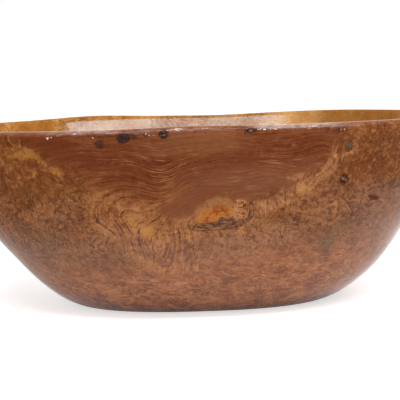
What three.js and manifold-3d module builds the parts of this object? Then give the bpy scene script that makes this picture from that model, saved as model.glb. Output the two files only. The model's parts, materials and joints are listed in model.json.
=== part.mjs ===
// Burl wood bowl: a free-form oval bowl carved from one burl, with the knots and bark that lie in its wall.
// Millimetres, +Z up. The foot rests at z = 0, X runs along the bowl, and -Y is its front.
import * as THREE from 'three';
import { mergeVertices } from 'three/addons/utils/BufferGeometryUtils.js';
import Module from 'manifold-3d';

const wasm = await Module();
wasm.setup();
const { clamp, degToRad, lerp } = THREE.MathUtils;

// Overall sizes, over the outside of the lip
const RIM_LENGTH = 400;
const RIM_WIDTH = 310;
const RIM_HEIGHT = 136;

// Flat oval foot
const FOOT_LENGTH = 176;
const FOOT_WIDTH = 126;

// Wall: thin at the round lip and thicker down to the floor, which is hollowed a little
const LIP_THICKNESS = 8.5;
const FLOOR_THICKNESS = 14;
const FLOOR_DISH = 2;

// Outer curve along the length: how far it runs out level from the foot, and straight down from the lip
const FOOT_SWEEP = 40;
const LIP_SWEEP = 42;
const LIP_SLOPE = degToRad(62);

// Plan: 2 is an ellipse, and more is squarer
const FOOT_SQUARENESS = 2.45;
const LIP_SQUARENESS = 2.2;

// The lip is cut by hand and rises and dips on its way round
const LIP_WAVES = [
  { bearing: 124, rise: 1.9, spread: 13 },
  { bearing: 84, rise: -1.2, spread: 15 },
  { bearing: 46, rise: 0.8, spread: 16 },
  { bearing: -92, rise: 1.2, spread: 14 },
];
const WAVE_FADE = 4;

// The skin swells a little at both ends
const SWELLS = [
  { bearing: 0, height: 28, out: 2.4, tall: 20, spread: 45 },
  { bearing: 180, height: 60, out: 2, tall: 18, spread: 45 },
];

// Fineness of the mesh and of the searches on it
const STEPS_ROUND = 88;
const STEPS_OUTER = 14;
const STEPS_LIP = 6;
const STEPS_INNER = 12;
const STEPS_FLOOR = 2;
const STEPS_PER_OUTLINE_POINT = 3;
const HALVINGS = 40;
const NUDGE = 0.001;

// Encased knots and bark: each sits in a pocket of the wall with this gap all round, flush with the skin
const SEAT_GAP = 0.3;
const CUT_PROUD = 6;

// "around" is the turn from +X in degrees, and "drop" is down from the top of the lip.
// Each outline is seen from outside: [across to the right, up the wall] from that place.
const KNOTS = [
  {
    name: 'rim_pin_knot', colour: 0x2e1c12, around: -108.2, drop: 9, depth: 5,
    outline: [[-2.7, 0.2], [-1.3, 2], [1.5, 1.8], [2.7, -0.2], [1.2, -1.9], [-1.6, -1.8]],
  },
  {
    name: 'left_rim_bark', colour: 0x1c1310, around: -103.7, drop: 5.7, depth: 5,
    outline: [
      [-3.3, -0.6], [-2.4, 1.8], [-0.4, 2.9], [2.4, 2.3], [4.4, 0.4], [2.5, -2], [-1, -3], [-3, -2.2],
    ],
  },
  {
    name: 'middle_rim_bark', colour: 0x20221a, around: -96.4, drop: 4.2, depth: 4.5,
    outline: [[-2.6, -0.6], [-1.5, 1.6], [0.3, 2.3], [2.4, 1.8], [2.8, -0.6], [1.8, -2.6], [-0.6, -2.2]],
  },
  {
    name: 'right_rim_bark', colour: 0x2b2a26, around: -80.3, drop: 3.2, depth: 3.5,
    outline: [[-3.4, -0.2], [-1.4, 1.2], [1, 1.4], [3.4, 0.4], [1.6, -0.9], [-1.2, -1.1]],
  },
  {
    name: 'ringed_knot', colour: 0x5b5540, around: -60.6, drop: 15.9, depth: 6,
    outline: [
      [-2.7, -0.2], [-2.5, 2.8], [-0.9, 4.5], [1.4, 4], [2.9, 1], [2.8, -2.6], [1, -4.4], [-1.3, -3.4],
    ],
  },
  {
    name: 'split_knot', colour: 0x2a2119, around: -59.3, drop: 38.4, depth: 6,
    outline: [
      [-3, -0.8], [-3.3, 2.6], [-1.5, 4.4], [1.6, 3.6], [3.2, 0.4], [3.2, -3], [1.2, -4.4], [-1.4, -3.4],
    ],
  },
  {
    name: 'lens_knot', colour: 0x43211b, around: -49, drop: 53, depth: 4,
    outline: [[-5.8, 0.9], [-3.4, 1.9], [0.8, 1.5], [6, -0.8], [3.6, -2], [-1.4, -1.5]],
  },
  {
    name: 'heart_bark_seam', colour: 0x3a3230, around: -85.1, drop: 63.3, depth: 5,
    outline: [
      [-20, -7.5], [-13, -8], [-6, -7.5], [2, -7], [8, -6], [13, -4], [17, -1.5], [20, 2.2], [20.6, 7.5],
      [20, 12.8], [18.8, 14.4], [17.6, 12.8], [17.7, 7], [16.4, 2.8], [13, 0.8], [8.5, 0.6], [5.5, 2.4],
      [2, 2.4], [-0.8, 3], [-2.6, 0.4], [-6.5, -1], [-12, -2], [-15.5, -1.7], [-18.4, -4],
    ],
  },
];
const BOWL_COLOUR = 0x7d4725;
const LACQUERED_ROUGHNESS = 0.3;
const BARK_ROUGHNESS = 0.45;

const LIP_RADIUS = LIP_THICKNESS / 2;

// Half of the bowl's cross-section, along X or along Y. It runs in three stretches of u: 0 to 1 up the outer
// skin, 1 to 2 over the lip, and 2 to 3 down the inner skin. "sweep" scales how far it runs out.
class Section {
  constructor(rimSize, footSize, sweep) {
    const foot = footSize / 2;
    const slope = Math.atan2(Math.sin(LIP_SLOPE), Math.cos(LIP_SLOPE) * sweep);
    const edge = rimSize / 2 - LIP_RADIUS * (1 - Math.sin(slope));
    const edgeHeight = RIM_HEIGHT - LIP_RADIUS * (1 + Math.cos(slope));
    const lipRun = LIP_SWEEP * Math.cos(LIP_SLOPE) * sweep;
    const lipFall = LIP_SWEEP * Math.sin(LIP_SLOPE);
    this.outer = new THREE.CubicBezierCurve(
      new THREE.Vector2(foot, 0),
      new THREE.Vector2(foot + FOOT_SWEEP * sweep, 0),
      new THREE.Vector2(edge - lipRun, edgeHeight - lipFall),
      new THREE.Vector2(edge, edgeHeight),
    );
    const inward = new THREE.Vector2(-Math.sin(slope), Math.cos(slope));
    this.lipCentre = new THREE.Vector2(edge, edgeHeight).add(inward.multiplyScalar(LIP_RADIUS));
    this.lipStart = slope - Math.PI / 2;
  }

  at(u) {
    if (u <= 1) {
      return this.outer.getPoint(u);
    }
    if (u < 2) {
      const angle = this.lipStart + Math.PI * (u - 1);
      const outward = new THREE.Vector2(Math.cos(angle), Math.sin(angle));
      return this.lipCentre.clone().add(outward.multiplyScalar(LIP_RADIUS));
    }
    const t = 3 - u;
    const along = this.outer.getTangent(t);
    const thickness = lerp(FLOOR_THICKNESS, LIP_THICKNESS, t);
    return this.outer.getPoint(t).add(new THREE.Vector2(-along.y, along.x).multiplyScalar(thickness));
  }
}

const lengthSpread = RIM_LENGTH - FOOT_LENGTH;
const widthSpread = RIM_WIDTH - FOOT_WIDTH;
const longSection = new Section(RIM_LENGTH, FOOT_LENGTH, 1);
const shortSection = new Section(RIM_WIDTH, FOOT_WIDTH, widthSpread / lengthSpread);

// Gap between two bearings in degrees, the short way round
function bearingGap(a, b) {
  return ((((a - b + 180) % 360) + 360) % 360) - 180;
}

function bell(distance, spread) {
  return Math.exp(-((distance / spread) ** 2));
}

// The hand-cut waves of the lip and swells of the skin, laid over the true form
function handCut(point) {
  const bearing = THREE.MathUtils.radToDeg(Math.atan2(point.y, point.x));
  const reach = Math.hypot(point.x, point.y);
  let rise = 0;
  for (const wave of LIP_WAVES) {
    rise += wave.rise * bell(bearingGap(bearing, wave.bearing), wave.spread);
  }
  let out = 0;
  for (const swell of SWELLS) {
    const roundShare = bell(bearingGap(bearing, swell.bearing), swell.spread);
    out += swell.out * bell(point.z - swell.height, swell.tall) * roundShare;
  }
  const stretch = 1 + out / reach;
  const lift = rise * clamp(point.z / RIM_HEIGHT, 0, 1) ** WAVE_FADE;
  return new THREE.Vector3(point.x * stretch, point.y * stretch, point.z + lift);
}

// A point of the true form: "angle" goes round the plan, and "u" goes along the section
function trueForm(angle, u) {
  const long = longSection.at(u);
  const short = shortSection.at(u);
  const squareness = lerp(FOOT_SQUARENESS, LIP_SQUARENESS, clamp(Math.min(u, 3 - u), 0, 1));
  const c = Math.cos(angle);
  const s = Math.sin(angle);
  const size = (Math.abs(c) ** squareness + Math.abs(s) ** squareness) ** (-1 / squareness);
  return new THREE.Vector3(long.x * c * size, short.x * s * size, lerp(long.y, short.y, s * s));
}

// A ring of points at one place on the section, drawn in towards the middle by "share" and lowered by "sink"
function ring(u, share = 1, sink = 0) {
  const points = [];
  for (let step = 0; step < STEPS_ROUND; step += 1) {
    const point = trueForm((2 * Math.PI * step) / STEPS_ROUND, u);
    points.push(handCut(new THREE.Vector3(point.x * share, point.y * share, point.z - sink)));
  }
  return points;
}

// A closed skin through a list of rings, with a middle point under the first and over the last
function loft(rings, firstMiddle, lastMiddle) {
  const points = [...rings.flat(), firstMiddle, lastMiddle];
  const first = rings.length * STEPS_ROUND;
  const last = first + 1;
  const faces = [];
  for (let side = 0; side < STEPS_ROUND; side += 1) {
    const next = (side + 1) % STEPS_ROUND;
    for (let row = 0; row < rings.length - 1; row += 1) {
      const low = row * STEPS_ROUND;
      const high = low + STEPS_ROUND;
      faces.push(low + side, low + next, high + next);
      faces.push(low + side, high + next, high + side);
    }
    const top = (rings.length - 1) * STEPS_ROUND;
    faces.push(first, next, side);
    faces.push(last, top + side, top + next);
  }
  const geometry = new THREE.BufferGeometry().setFromPoints(points);
  geometry.setIndex(faces);
  return geometry;
}

function bowlForm() {
  const rings = [];
  for (let step = 0; step < STEPS_OUTER; step += 1) {
    rings.push(ring(step / STEPS_OUTER));
  }
  for (let step = 0; step < STEPS_LIP; step += 1) {
    rings.push(ring(1 + step / STEPS_LIP));
  }
  for (let step = 0; step <= STEPS_INNER; step += 1) {
    rings.push(ring(2 + step / STEPS_INNER));
  }
  for (let step = 1; step < STEPS_FLOOR; step += 1) {
    const share = 1 - step / STEPS_FLOOR;
    rings.push(ring(3, share, FLOOR_DISH * (1 - share ** 2)));
  }
  const footMiddle = new THREE.Vector3(0, 0, 0);
  const floorMiddle = new THREE.Vector3(0, 0, FLOOR_THICKNESS - FLOOR_DISH);
  return loft(rings, footMiddle, floorMiddle);
}

function toSolid(geometry) {
  const bare = geometry.clone();
  bare.deleteAttribute('normal');
  bare.deleteAttribute('uv');
  const merged = mergeVertices(bare);
  return new wasm.Manifold(new wasm.Mesh({
    numProp: 3,
    vertProperties: new Float32Array(merged.attributes.position.array),
    triVerts: new Uint32Array(merged.index.array),
  }));
}

function toGeometry(solid) {
  const mesh = solid.getMesh();
  const geometry = new THREE.BufferGeometry();
  geometry.setAttribute('position', new THREE.BufferAttribute(mesh.vertProperties, 3));
  geometry.setIndex(new THREE.BufferAttribute(mesh.triVerts, 1));
  geometry.computeVertexNormals();
  return geometry;
}

// Where on the section the skin reaches a height, found by halving from the foot to the top of the lip
function alongAtHeight(angle, height) {
  let low = 0;
  let high = 1 + (Math.PI / 2 - longSection.lipStart) / Math.PI;
  for (let step = 0; step < HALVINGS; step += 1) {
    const middle = (low + high) / 2;
    if (trueForm(angle, middle).z < height) {
      low = middle;
    } else {
      high = middle;
    }
  }
  return high;
}

// The place of a knot on the skin: X across, Y up the wall and Z straight out of it
function placeOnSkin(knot) {
  const angle = degToRad(knot.around);
  const u = alongAtHeight(angle, RIM_HEIGHT - knot.drop);
  const point = handCut(trueForm(angle, u));
  const up = handCut(trueForm(angle, u + NUDGE)).sub(handCut(trueForm(angle, u - NUDGE))).normalize();
  const across = handCut(trueForm(angle + NUDGE, u)).sub(handCut(trueForm(angle - NUDGE, u)));
  const out = across.cross(up).normalize();
  return new THREE.Matrix4().makeBasis(up.clone().cross(out), up, out).setPosition(point);
}

// A smooth closed outline through hand-chosen points
function smoothOutline(corners) {
  const points = corners.map(([across, up]) => new THREE.Vector3(across, up, 0));
  const curve = new THREE.CatmullRomCurve3(points, true);
  return curve.getPoints(corners.length * STEPS_PER_OUTLINE_POINT).slice(0, -1);
}

// The outline moved out by a gap, square to itself at each point
function grown(outline, gap) {
  const side = THREE.ShapeUtils.isClockWise(outline) ? gap : -gap;
  return outline.map((point, index) => {
    const before = outline.at(index - 1);
    const after = outline[(index + 1) % outline.length];
    const along = after.clone().sub(before).normalize();
    return new THREE.Vector3(point.x - along.y * side, point.y + along.x * side, 0);
  });
}

// A straight-sided plug through the skin, from "depth" inside it to a little outside
function plug(outline, depth, place) {
  const shape = new THREE.Shape(outline.map((point) => new THREE.Vector2(point.x, point.y)));
  const geometry = new THREE.ExtrudeGeometry(shape, { depth: depth + CUT_PROUD, bevelEnabled: false });
  return toSolid(geometry.translate(0, 0, -depth).applyMatrix4(place));
}

function namedMesh(name, solid, colour, roughness) {
  const material = new THREE.MeshStandardMaterial({ color: colour, roughness, metalness: 0 });
  const mesh = new THREE.Mesh(toGeometry(solid), material);
  mesh.name = name;
  return mesh;
}

const bowl = new THREE.Group();
const uncut = toSolid(bowlForm());
let wood = uncut;
for (const knot of KNOTS) {
  const place = placeOnSkin(knot);
  const outline = smoothOutline(knot.outline);
  wood = wood.subtract(plug(grown(outline, SEAT_GAP), knot.depth + SEAT_GAP, place));
  const filling = uncut.intersect(plug(outline, knot.depth, place));
  bowl.add(namedMesh(knot.name, filling, knot.colour, BARK_ROUGHNESS));
}
bowl.add(namedMesh('bowl', wood, BOWL_COLOUR, LACQUERED_ROUGHNESS));

export default bowl;
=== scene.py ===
"""A lacquered burl wood bowl, with the knots and bark that lie in its wall, on a white studio floor."""
import json
import math

import bpy
import numpy as np
from bpy.props import FloatProperty, FloatVectorProperty, PointerProperty
from bpy.types import Operator, Panel, PropertyGroup
from mathutils import Matrix, Vector, noise
from mathutils.bvhtree import BVHTree

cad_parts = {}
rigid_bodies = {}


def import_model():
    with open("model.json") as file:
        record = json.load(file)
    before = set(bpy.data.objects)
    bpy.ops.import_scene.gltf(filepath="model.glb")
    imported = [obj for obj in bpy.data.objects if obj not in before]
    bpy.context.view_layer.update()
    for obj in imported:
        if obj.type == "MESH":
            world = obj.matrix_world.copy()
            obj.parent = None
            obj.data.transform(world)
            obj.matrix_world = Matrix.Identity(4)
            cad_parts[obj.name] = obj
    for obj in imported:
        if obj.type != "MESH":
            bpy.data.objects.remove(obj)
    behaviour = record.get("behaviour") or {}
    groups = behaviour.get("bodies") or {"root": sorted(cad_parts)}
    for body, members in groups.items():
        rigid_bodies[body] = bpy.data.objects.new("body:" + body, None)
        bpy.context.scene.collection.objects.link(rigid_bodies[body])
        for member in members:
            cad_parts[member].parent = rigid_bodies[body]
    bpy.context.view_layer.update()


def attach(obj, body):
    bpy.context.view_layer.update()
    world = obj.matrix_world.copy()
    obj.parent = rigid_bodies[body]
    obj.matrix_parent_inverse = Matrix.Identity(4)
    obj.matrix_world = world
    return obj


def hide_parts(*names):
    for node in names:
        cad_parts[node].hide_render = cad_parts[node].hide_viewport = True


bl_info = {
    "name": "Burl wood bowl",
    "version": (1, 0, 0),
    "blender": (4, 5, 0),
    "location": "3D View > Sidebar > Burl bowl",
    "description": "Carves a lacquered burl bowl with its knots and bark, and sets it on a studio floor",
    "category": "Object",
}

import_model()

BODY = "root"
MILLIMETRE = 0.001

# The wall's curve, in metres: how far it runs out level from the foot and straight down from the lip
FOOT_SWEEP = 0.040
LIP_SWEEP = 0.042
LIP_SLOPE = math.radians(62)
FLOOR_DISH = 0.002

# Plan of the bowl: 2 is an ellipse, and more is squarer
FOOT_SQUARENESS = 2.45
LIP_SQUARENESS = 2.2

# Waves of the hand-cut lip: bearing and spread in degrees, rise in metres
LIP_WAVES = ((124, 0.0019, 13), (84, -0.0012, 15), (46, 0.0008, 16), (-92, 0.0012, 14))
WAVE_FADE = 4

# Swells of the skin: bearing, height, how far out, how tall, and spread in degrees
SWELLS = ((0, 0.028, 0.0024, 0.020, 45), (180, 0.060, 0.0020, 0.018, 45))

# Fineness of the bowl's mesh: a coarse cage, whose faces are then divided
CAGE_SIDES = 120
CAGE_RINGS = {"outer": 30, "lip": 3, "inner": 12, "floor": 2}
CAGE_FOOT_RINGS = 2
CAGE_CUTS = 3
FRONT_CROWDING = 0.45
FOOT_MIDDLE = -1
FLOOR_MIDDLE = 4

# Pockets and what fills them
SEAT_GAP = 0.00008
CUT_PROUD = 0.006
OUTLINE_STEPS = 5
HALVINGS = 40
NUDGE = 0.001

# Mesh fineness of the plugs, and the patch of skin that their faces follow
KNOT_FINENESS = 0.00022
SEAM_FINENESS = 0.0004
PATCH_TURN = math.radians(11)
PATCH_CLIMB = 0.24
PATCH_STEPS = 61
PATCH_ABOVE = 0.03
SHARP_ANGLE = math.radians(42)

# Lacquer, and how strongly the wood's relief of a few tenths of a millimetre shows through it
UNDER_IOR = 1.5
UNDER_GLOSS = 0
COAT_IOR = 1.36
COAT_ROUGHNESS = 0.05
SUNK_GLOSS = 0.22
BUMP_STRENGTH = 0.25
BUMP_HEIGHT = 0.0004

# Burl eyes per metre: on the walls, near the foot, and in the seam of bark
EYES_PER_METRE = 270.0
FOOT_EYES_PER_METRE = 330.0
SEAM_EYES_PER_METRE = 650.0

# Heights under the far lip between which the glare inside the bowl sets in, going down
BELOW_FAR_EDGE = (0.1345, 0.1325)

# Stage, in metres and radians
CAMERA_PLACE = (0, -0.900, 0.1658)
CAMERA_PITCH = math.radians(5.81)
CAMERA_ROLL = math.radians(1.857)
SENSOR_WIDTH = 36
FOCAL_LENGTH = 105.75
FLOOR_SIZE = 24
FLOOR_GAP = 0.0002
FLOOR_GLOW = 0.62
FLOOR_TONES = ((0.86, 0.86, 0.86, 1), (0.90, 0.90, 0.90, 1))
WORLD_LIGHT = 0.6
LAMP_PITCH = math.radians(33.7)
LAMP_HEIGHT = 0.26
LAMPS = (
    ("window_left", (-0.205, -0.86, 1.51), 0.93, 15.0),
    ("window_right", (0.955, -0.86, 1.51), 1.36, 16.0),
)

# Layout of the shader nodes
NODE_COLUMN = 190
NODE_ROW = 170
NODES_HIGH = 8

# The mix node's sockets by number, as its sockets for numbers and colours share their names
MIX_NUMBERS = (2, 3)
MIX_COLOURS = (6, 7)
MIXED_COLOUR = 2

# Colours: full white, and the curve of a screen's tones, which is straight near black
WHITE = (1, 1, 1, 1)
TONES = 255
DARK_END = 0.04045
DARK_DIVISOR = 12.92
CURVE_OFFSET = 0.055
CURVE_POWER = 2.4


def tone(red, green, blue):
    """A colour as it shows on a screen, from 0 to 255, turned into Blender's linear numbers."""
    shares = [value / TONES for value in (red, green, blue)]
    curve = [((share + CURVE_OFFSET) / (1 + CURVE_OFFSET)) ** CURVE_POWER for share in shares]
    return tuple(share / DARK_DIVISOR if share <= DARK_END else high for share, high in zip(shares, curve))


# The form of the wall


class WallSection:
    """Half of the bowl's cross-section, along X or along Y.

    It runs from 0 to 1 up the outer skin, from 1 to 2 over the lip, and from 2 to 3 down the inner skin.
    """

    def __init__(self, sizes, rim_size, foot_size, sweep):
        foot = foot_size / 2
        slope = math.atan2(math.sin(LIP_SLOPE), math.cos(LIP_SLOPE) * sweep)
        self.lip_radius = sizes.lip_thickness / 2
        edge = rim_size / 2 - self.lip_radius * (1 - math.sin(slope))
        edge_height = sizes.rim_height - self.lip_radius * (1 + math.cos(slope))
        lip_run = LIP_SWEEP * math.cos(LIP_SLOPE) * sweep
        lip_fall = LIP_SWEEP * math.sin(LIP_SLOPE)
        self.handles = np.array((
            (foot, 0),
            (foot + FOOT_SWEEP * sweep, 0),
            (edge - lip_run, edge_height - lip_fall),
            (edge, edge_height),
        ))
        inward = np.array((-math.sin(slope), math.cos(slope)))
        self.lip_centre = self.handles[3] + inward * self.lip_radius
        self.lip_start = slope - math.pi / 2
        self.floor_thickness = sizes.floor_thickness
        self.lip_thickness = sizes.lip_thickness

    def outer(self, along):
        """Points of the outer skin's curve, and the unit directions along it."""
        t = along[:, None]
        start, first, second, end = self.handles
        points = (
            (1 - t) ** 3 * start + 3 * (1 - t) ** 2 * t * first + 3 * (1 - t) * t**2 * second + t**3 * end
        )
        slopes = (
            3 * (1 - t) ** 2 * (first - start)
            + 6 * (1 - t) * t * (second - first)
            + 3 * t**2 * (end - second)
        )
        return points, slopes / np.linalg.norm(slopes, axis=1, keepdims=True)

    def at(self, along):
        """Points of the whole section: how far out, and how high."""
        points = self.outer(np.clip(along, 0, 1))[0]
        turn = self.lip_start + math.pi * (along - 1)
        over_lip = self.lip_centre + self.lip_radius * np.stack((np.cos(turn), np.sin(turn)), axis=1)
        back = np.clip(3 - along, 0, 1)
        skin, directions = self.outer(back)
        thickness = self.floor_thickness + (self.lip_thickness - self.floor_thickness) * back
        inner = skin + np.stack((-directions[:, 1], directions[:, 0]), axis=1) * thickness[:, None]
        points = np.where((along > 1)[:, None], over_lip, points)
        return np.where((along >= 2)[:, None], inner, points)


class BowlForm:
    """The skin of the whole bowl, as a function of the turn round it and the place along its section."""

    def __init__(self, sizes):
        self.height = sizes.rim_height
        spread = (sizes.rim_width - sizes.foot_width) / (sizes.rim_length - sizes.foot_length)
        self.long = WallSection(sizes, sizes.rim_length, sizes.foot_length, 1)
        self.short = WallSection(sizes, sizes.rim_width, sizes.foot_width, spread)

    def true_form(self, turn, along):
        """Points before the hand cutting. Below 0 lies the foot's underside, and above 3 the inner floor."""
        long = self.long.at(along)
        short = self.short.at(along)
        share_up = np.clip(np.minimum(along, 3 - along), 0, 1)
        squareness = FOOT_SQUARENESS + (LIP_SQUARENESS - FOOT_SQUARENESS) * share_up
        cosine, sine = np.cos(turn), np.sin(turn)
        size = (np.abs(cosine) ** squareness + np.abs(sine) ** squareness) ** (-1 / squareness)
        share = np.clip(1 + np.minimum(along, 0) - np.maximum(along - 3, 0), 0, 1)
        sink = np.where(along > 3, FLOOR_DISH * (1 - share**2), 0)
        height = long[:, 1] + (short[:, 1] - long[:, 1]) * sine**2 - sink
        size = size * share
        return np.stack((long[:, 0] * cosine * size, short[:, 0] * sine * size, height), axis=1)

    def hand_cut(self, points):
        """Lays the waves of the lip and the swells of the skin over the true form."""
        bearing = np.degrees(np.arctan2(points[:, 1], points[:, 0]))
        reach = np.maximum(np.hypot(points[:, 0], points[:, 1]), MILLIMETRE)
        rise = sum(high * bell(bearing_gap(bearing, place), spread) for place, high, spread in LIP_WAVES)
        out = sum(
            far * bell(points[:, 2] - level, tall) * bell(bearing_gap(bearing, place), spread)
            for place, level, far, tall, spread in SWELLS
        )
        lift = rise * np.clip(points[:, 2] / self.height, 0, 1) ** WAVE_FADE
        stretch = 1 + out / reach
        return np.stack((points[:, 0] * stretch, points[:, 1] * stretch, points[:, 2] + lift), axis=1)

    def skin(self, turn, along):
        """Finished points of the skin."""
        turn, along = (np.atleast_1d(values).astype(float) for values in (turn, along))
        return self.hand_cut(self.true_form(*np.broadcast_arrays(turn, along)))

    def along_at_height(self, turn, height):
        """Where on the section the true form reaches a height, by halving from the foot to the lip's top."""
        low = 0
        high = 1 + (math.pi / 2 - self.long.lip_start) / math.pi
        for _ in range(HALVINGS):
            middle = (low + high) / 2
            if self.true_form(np.array([turn]), np.array([middle]))[0, 2] < height:
                low = middle
            else:
                high = middle
        return high

    def place_on_skin(self, around, drop):
        """The frame of a knot: X across, Y up the wall and Z straight out of it."""
        turn = math.radians(around)
        along = self.along_at_height(turn, self.height - drop)
        up = Vector(self.skin(turn, along + NUDGE)[0] - self.skin(turn, along - NUDGE)[0]).normalized()
        across = Vector(self.skin(turn + NUDGE, along)[0] - self.skin(turn - NUDGE, along)[0])
        out = across.cross(up).normalized()
        place = Matrix((up.cross(out), up, out)).transposed().to_4x4()
        place.translation = Vector(self.skin(turn, along)[0])
        return place


def bearing_gap(first, second):
    """Gap between bearings in degrees, the short way round."""
    return (first - second + 180) % 360 - 180


def bell(distance, spread):
    """1 at no distance, falling smoothly to nothing past the spread."""
    return np.exp(-((distance / spread) ** 2))


# Drawn lines and outlines


def smooth_line(corners, closed=False, steps=OUTLINE_STEPS):
    """A smooth line through given corners, which passes through each of them."""
    points = np.array(corners, float)
    count = len(points)
    if closed:
        padded = np.vstack((points[-1:], points, points[:2]))
    else:
        padded = np.vstack((2 * points[:1] - points[1:2], points, 2 * points[-1:] - points[-2:-1]))
    made = []
    for span in range(count if closed else count - 1):
        before, start, end, after = padded[span : span + 4]
        pairs = ((before, start), (start, end), (end, after))
        first, middle, last = (math.sqrt(math.dist(here, there)) for here, there in pairs)
        leave = (start - before) / first - (end - before) / (first + middle) + (end - start) / middle
        arrive = (end - start) / middle - (after - start) / (middle + last) + (after - end) / last
        leave, arrive = leave * middle, arrive * middle
        for t in np.arange(steps) / steps:
            square, cube = t * t, t**3
            made.append(
                (2 * cube - 3 * square + 1) * start
                + (cube - 2 * square + t) * leave
                + (3 * square - 2 * cube) * end
                + (cube - square) * arrive
            )
    if not closed:
        made.append(points[-1])
    return np.array(made)


def grown(outline, gap):
    """The outline moved out by a gap, square to itself at each point."""
    along = np.roll(outline, -1, axis=0) - np.roll(outline, 1, axis=0)
    along /= np.linalg.norm(along, axis=1, keepdims=True)
    x, y = outline.T
    winding = np.sign(np.sum(x * np.roll(y, -1) - np.roll(x, -1) * y))
    return outline + gap * winding * np.stack((along[:, 1], -along[:, 0]), axis=1)


def from_line(places, line):
    """How far each place lies from a line, on which side, and how far along the line that is."""
    distance = np.full(len(places), np.inf)
    side = np.ones(len(places))
    along = np.zeros(len(places))
    passed = 0
    for start, end in zip(line[:-1], line[1:]):
        step = end - start
        length = np.linalg.norm(step)
        offset = places - start
        share = np.clip(offset @ step / length**2, 0, 1)
        away = np.linalg.norm(offset - share[:, None] * step, axis=1)
        nearer = away < distance
        turn = step[0] * offset[:, 1] - step[1] * offset[:, 0]
        distance = np.where(nearer, away, distance)
        side = np.where(nearer, np.where(turn < 0, -1, 1), side)
        along = np.where(nearer, passed + share * length, along)
        passed += length
    return distance, side, along


def inside(places, corners):
    """Distance to a smooth closed outline: above 0 inside it, and below 0 outside."""
    outline = smooth_line(corners, closed=True)
    closed = np.vstack((outline, outline[:1]))
    within = np.zeros(len(places), bool)
    for start, end in zip(closed[:-1], closed[1:]):
        crosses = (start[1] > places[:, 1]) != (end[1] > places[:, 1])
        rise = end[1] - start[1]
        if rise:
            at = start[0] + (places[:, 1] - start[1]) * (end[0] - start[0]) / rise
            within ^= crosses & (places[:, 0] < at)
    return from_line(places, closed)[0] * np.where(within, 1, -1)


def patches(places, spots):
    """Soft round patches, each given as across, up, how wide, how tall and how strong."""
    total = np.zeros(len(places))
    for across, up, wide, tall, strength in spots:
        total += strength * bell((places[:, 0] - across) / wide, 1) * bell((places[:, 1] - up) / tall, 1)
    return total


class SmoothSheet:
    """A thin bent sheet that passes near the heights given at listed places."""

    def __init__(self, places, heights, give):
        self.places = np.array(places, float)
        count = len(self.places)
        bend = self.sag(self.places, self.places) + give * np.eye(count)
        flat = np.column_stack((np.ones(count), self.places))
        system = np.block([[bend, flat], [flat.T, np.zeros((3, 3))]])
        solved = np.linalg.solve(system, np.concatenate((heights, np.zeros(3))))
        self.weights, self.level = solved[:count], solved[count:]

    @staticmethod
    def sag(first, second):
        square = np.sum((first[:, None] - second[None]) ** 2, axis=2)
        return square * np.log(np.maximum(square, 1e-9))

    def at(self, places):
        height = self.level[0] + places @ self.level[1:]
        for place, weight in zip(self.places, self.weights):
            height = height + weight * self.sag(places, place[None])[:, 0]
        return height


# The figure of the wood on the front, seen straight on, in millimetres from the middle and from the floor.
# Growth rings: the number of each ring and its route. Whole numbers from 1 up show as thin dark lines.
RING_ROUTES = (
    (-6, ((-116, 132), (-56, 133), (1, 133), (65, 132), (92, 133))),
    (-4.2, ((-90, 123), (-57, 123), (-31, 121), (1, 122), (33, 122), (65, 122), (85, 123))),
    (-2.6, (
        (-77, 115), (-57, 114), (-34, 110), (-22, 108), (-15, 111), (-2, 114), (16, 117), (39, 116),
        (82, 120),
    )),
    (-1.2, (
        (-62, 107), (-46, 108), (-37, 105), (-29, 101), (-22, 102), (-15, 104), (-2, 109), (6, 110),
        (26, 111), (52, 110), (77, 111),
    )),
    (0, (
        (-62, 101), (-43, 100), (-32, 97), (-24, 96), (-15, 99), (-11, 102), (-2, 105), (6, 107), (26, 106),
        (52, 106), (68, 104),
    )),
    (1, (
        (-70, 73), (-70, 78), (-69, 83), (-65, 90), (-59, 94), (-53, 96), (-42, 96), (-32, 93), (-23, 93),
        (-14, 97), (-9, 101), (0, 103), (26, 103), (53, 102), (66, 101),
    )),
    (2, (
        (-49, 61), (-53, 69), (-57, 75), (-60, 80), (-57, 85), (-53, 90), (-48, 91), (-40, 91), (-31, 89),
        (-24, 89), (-17, 93), (-13, 97), (-6, 99), (5, 100), (26, 100), (49, 100),
    )),
    (3, (
        (-47, 61), (-46, 65), (-49, 69), (-53, 74), (-53, 78), (-51, 81), (-42, 80), (-35, 81), (-29, 82),
        (-22, 86), (-15, 92), (-11, 95), (-7, 97), (5, 96), (20, 96), (33, 97), (45, 99),
    )),
    (4, (
        (-37, 44), (-39, 52), (-41, 57), (-42, 64), (-40, 70), (-33, 74), (-25, 79), (-17, 84), (-6, 90),
        (7, 93),
    )),
    (5, ((-33, 44), (-32, 53), (-32, 58), (-34, 62), (-32, 65), (-27, 69), (-24, 73), (-16, 79), (-7, 85))),
    (6, ((-29, 34), (-29, 40), (-26, 46), (-23, 50), (-21, 58), (-23, 64), (-21, 69), (-18, 74), (-13, 79))),
    (7, ((-18, 41), (-16, 53), (-15, 64), (-14, 75))),
    (8, ((-11, 41), (-10, 52), (-11, 63), (-10, 75))),
    (9, ((-4, 39), (-4, 52), (-6, 64), (-8, 75))),
    (10, ((2, 40), (1, 52), (-2, 62))),
)
RING_GIVE = 20

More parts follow.
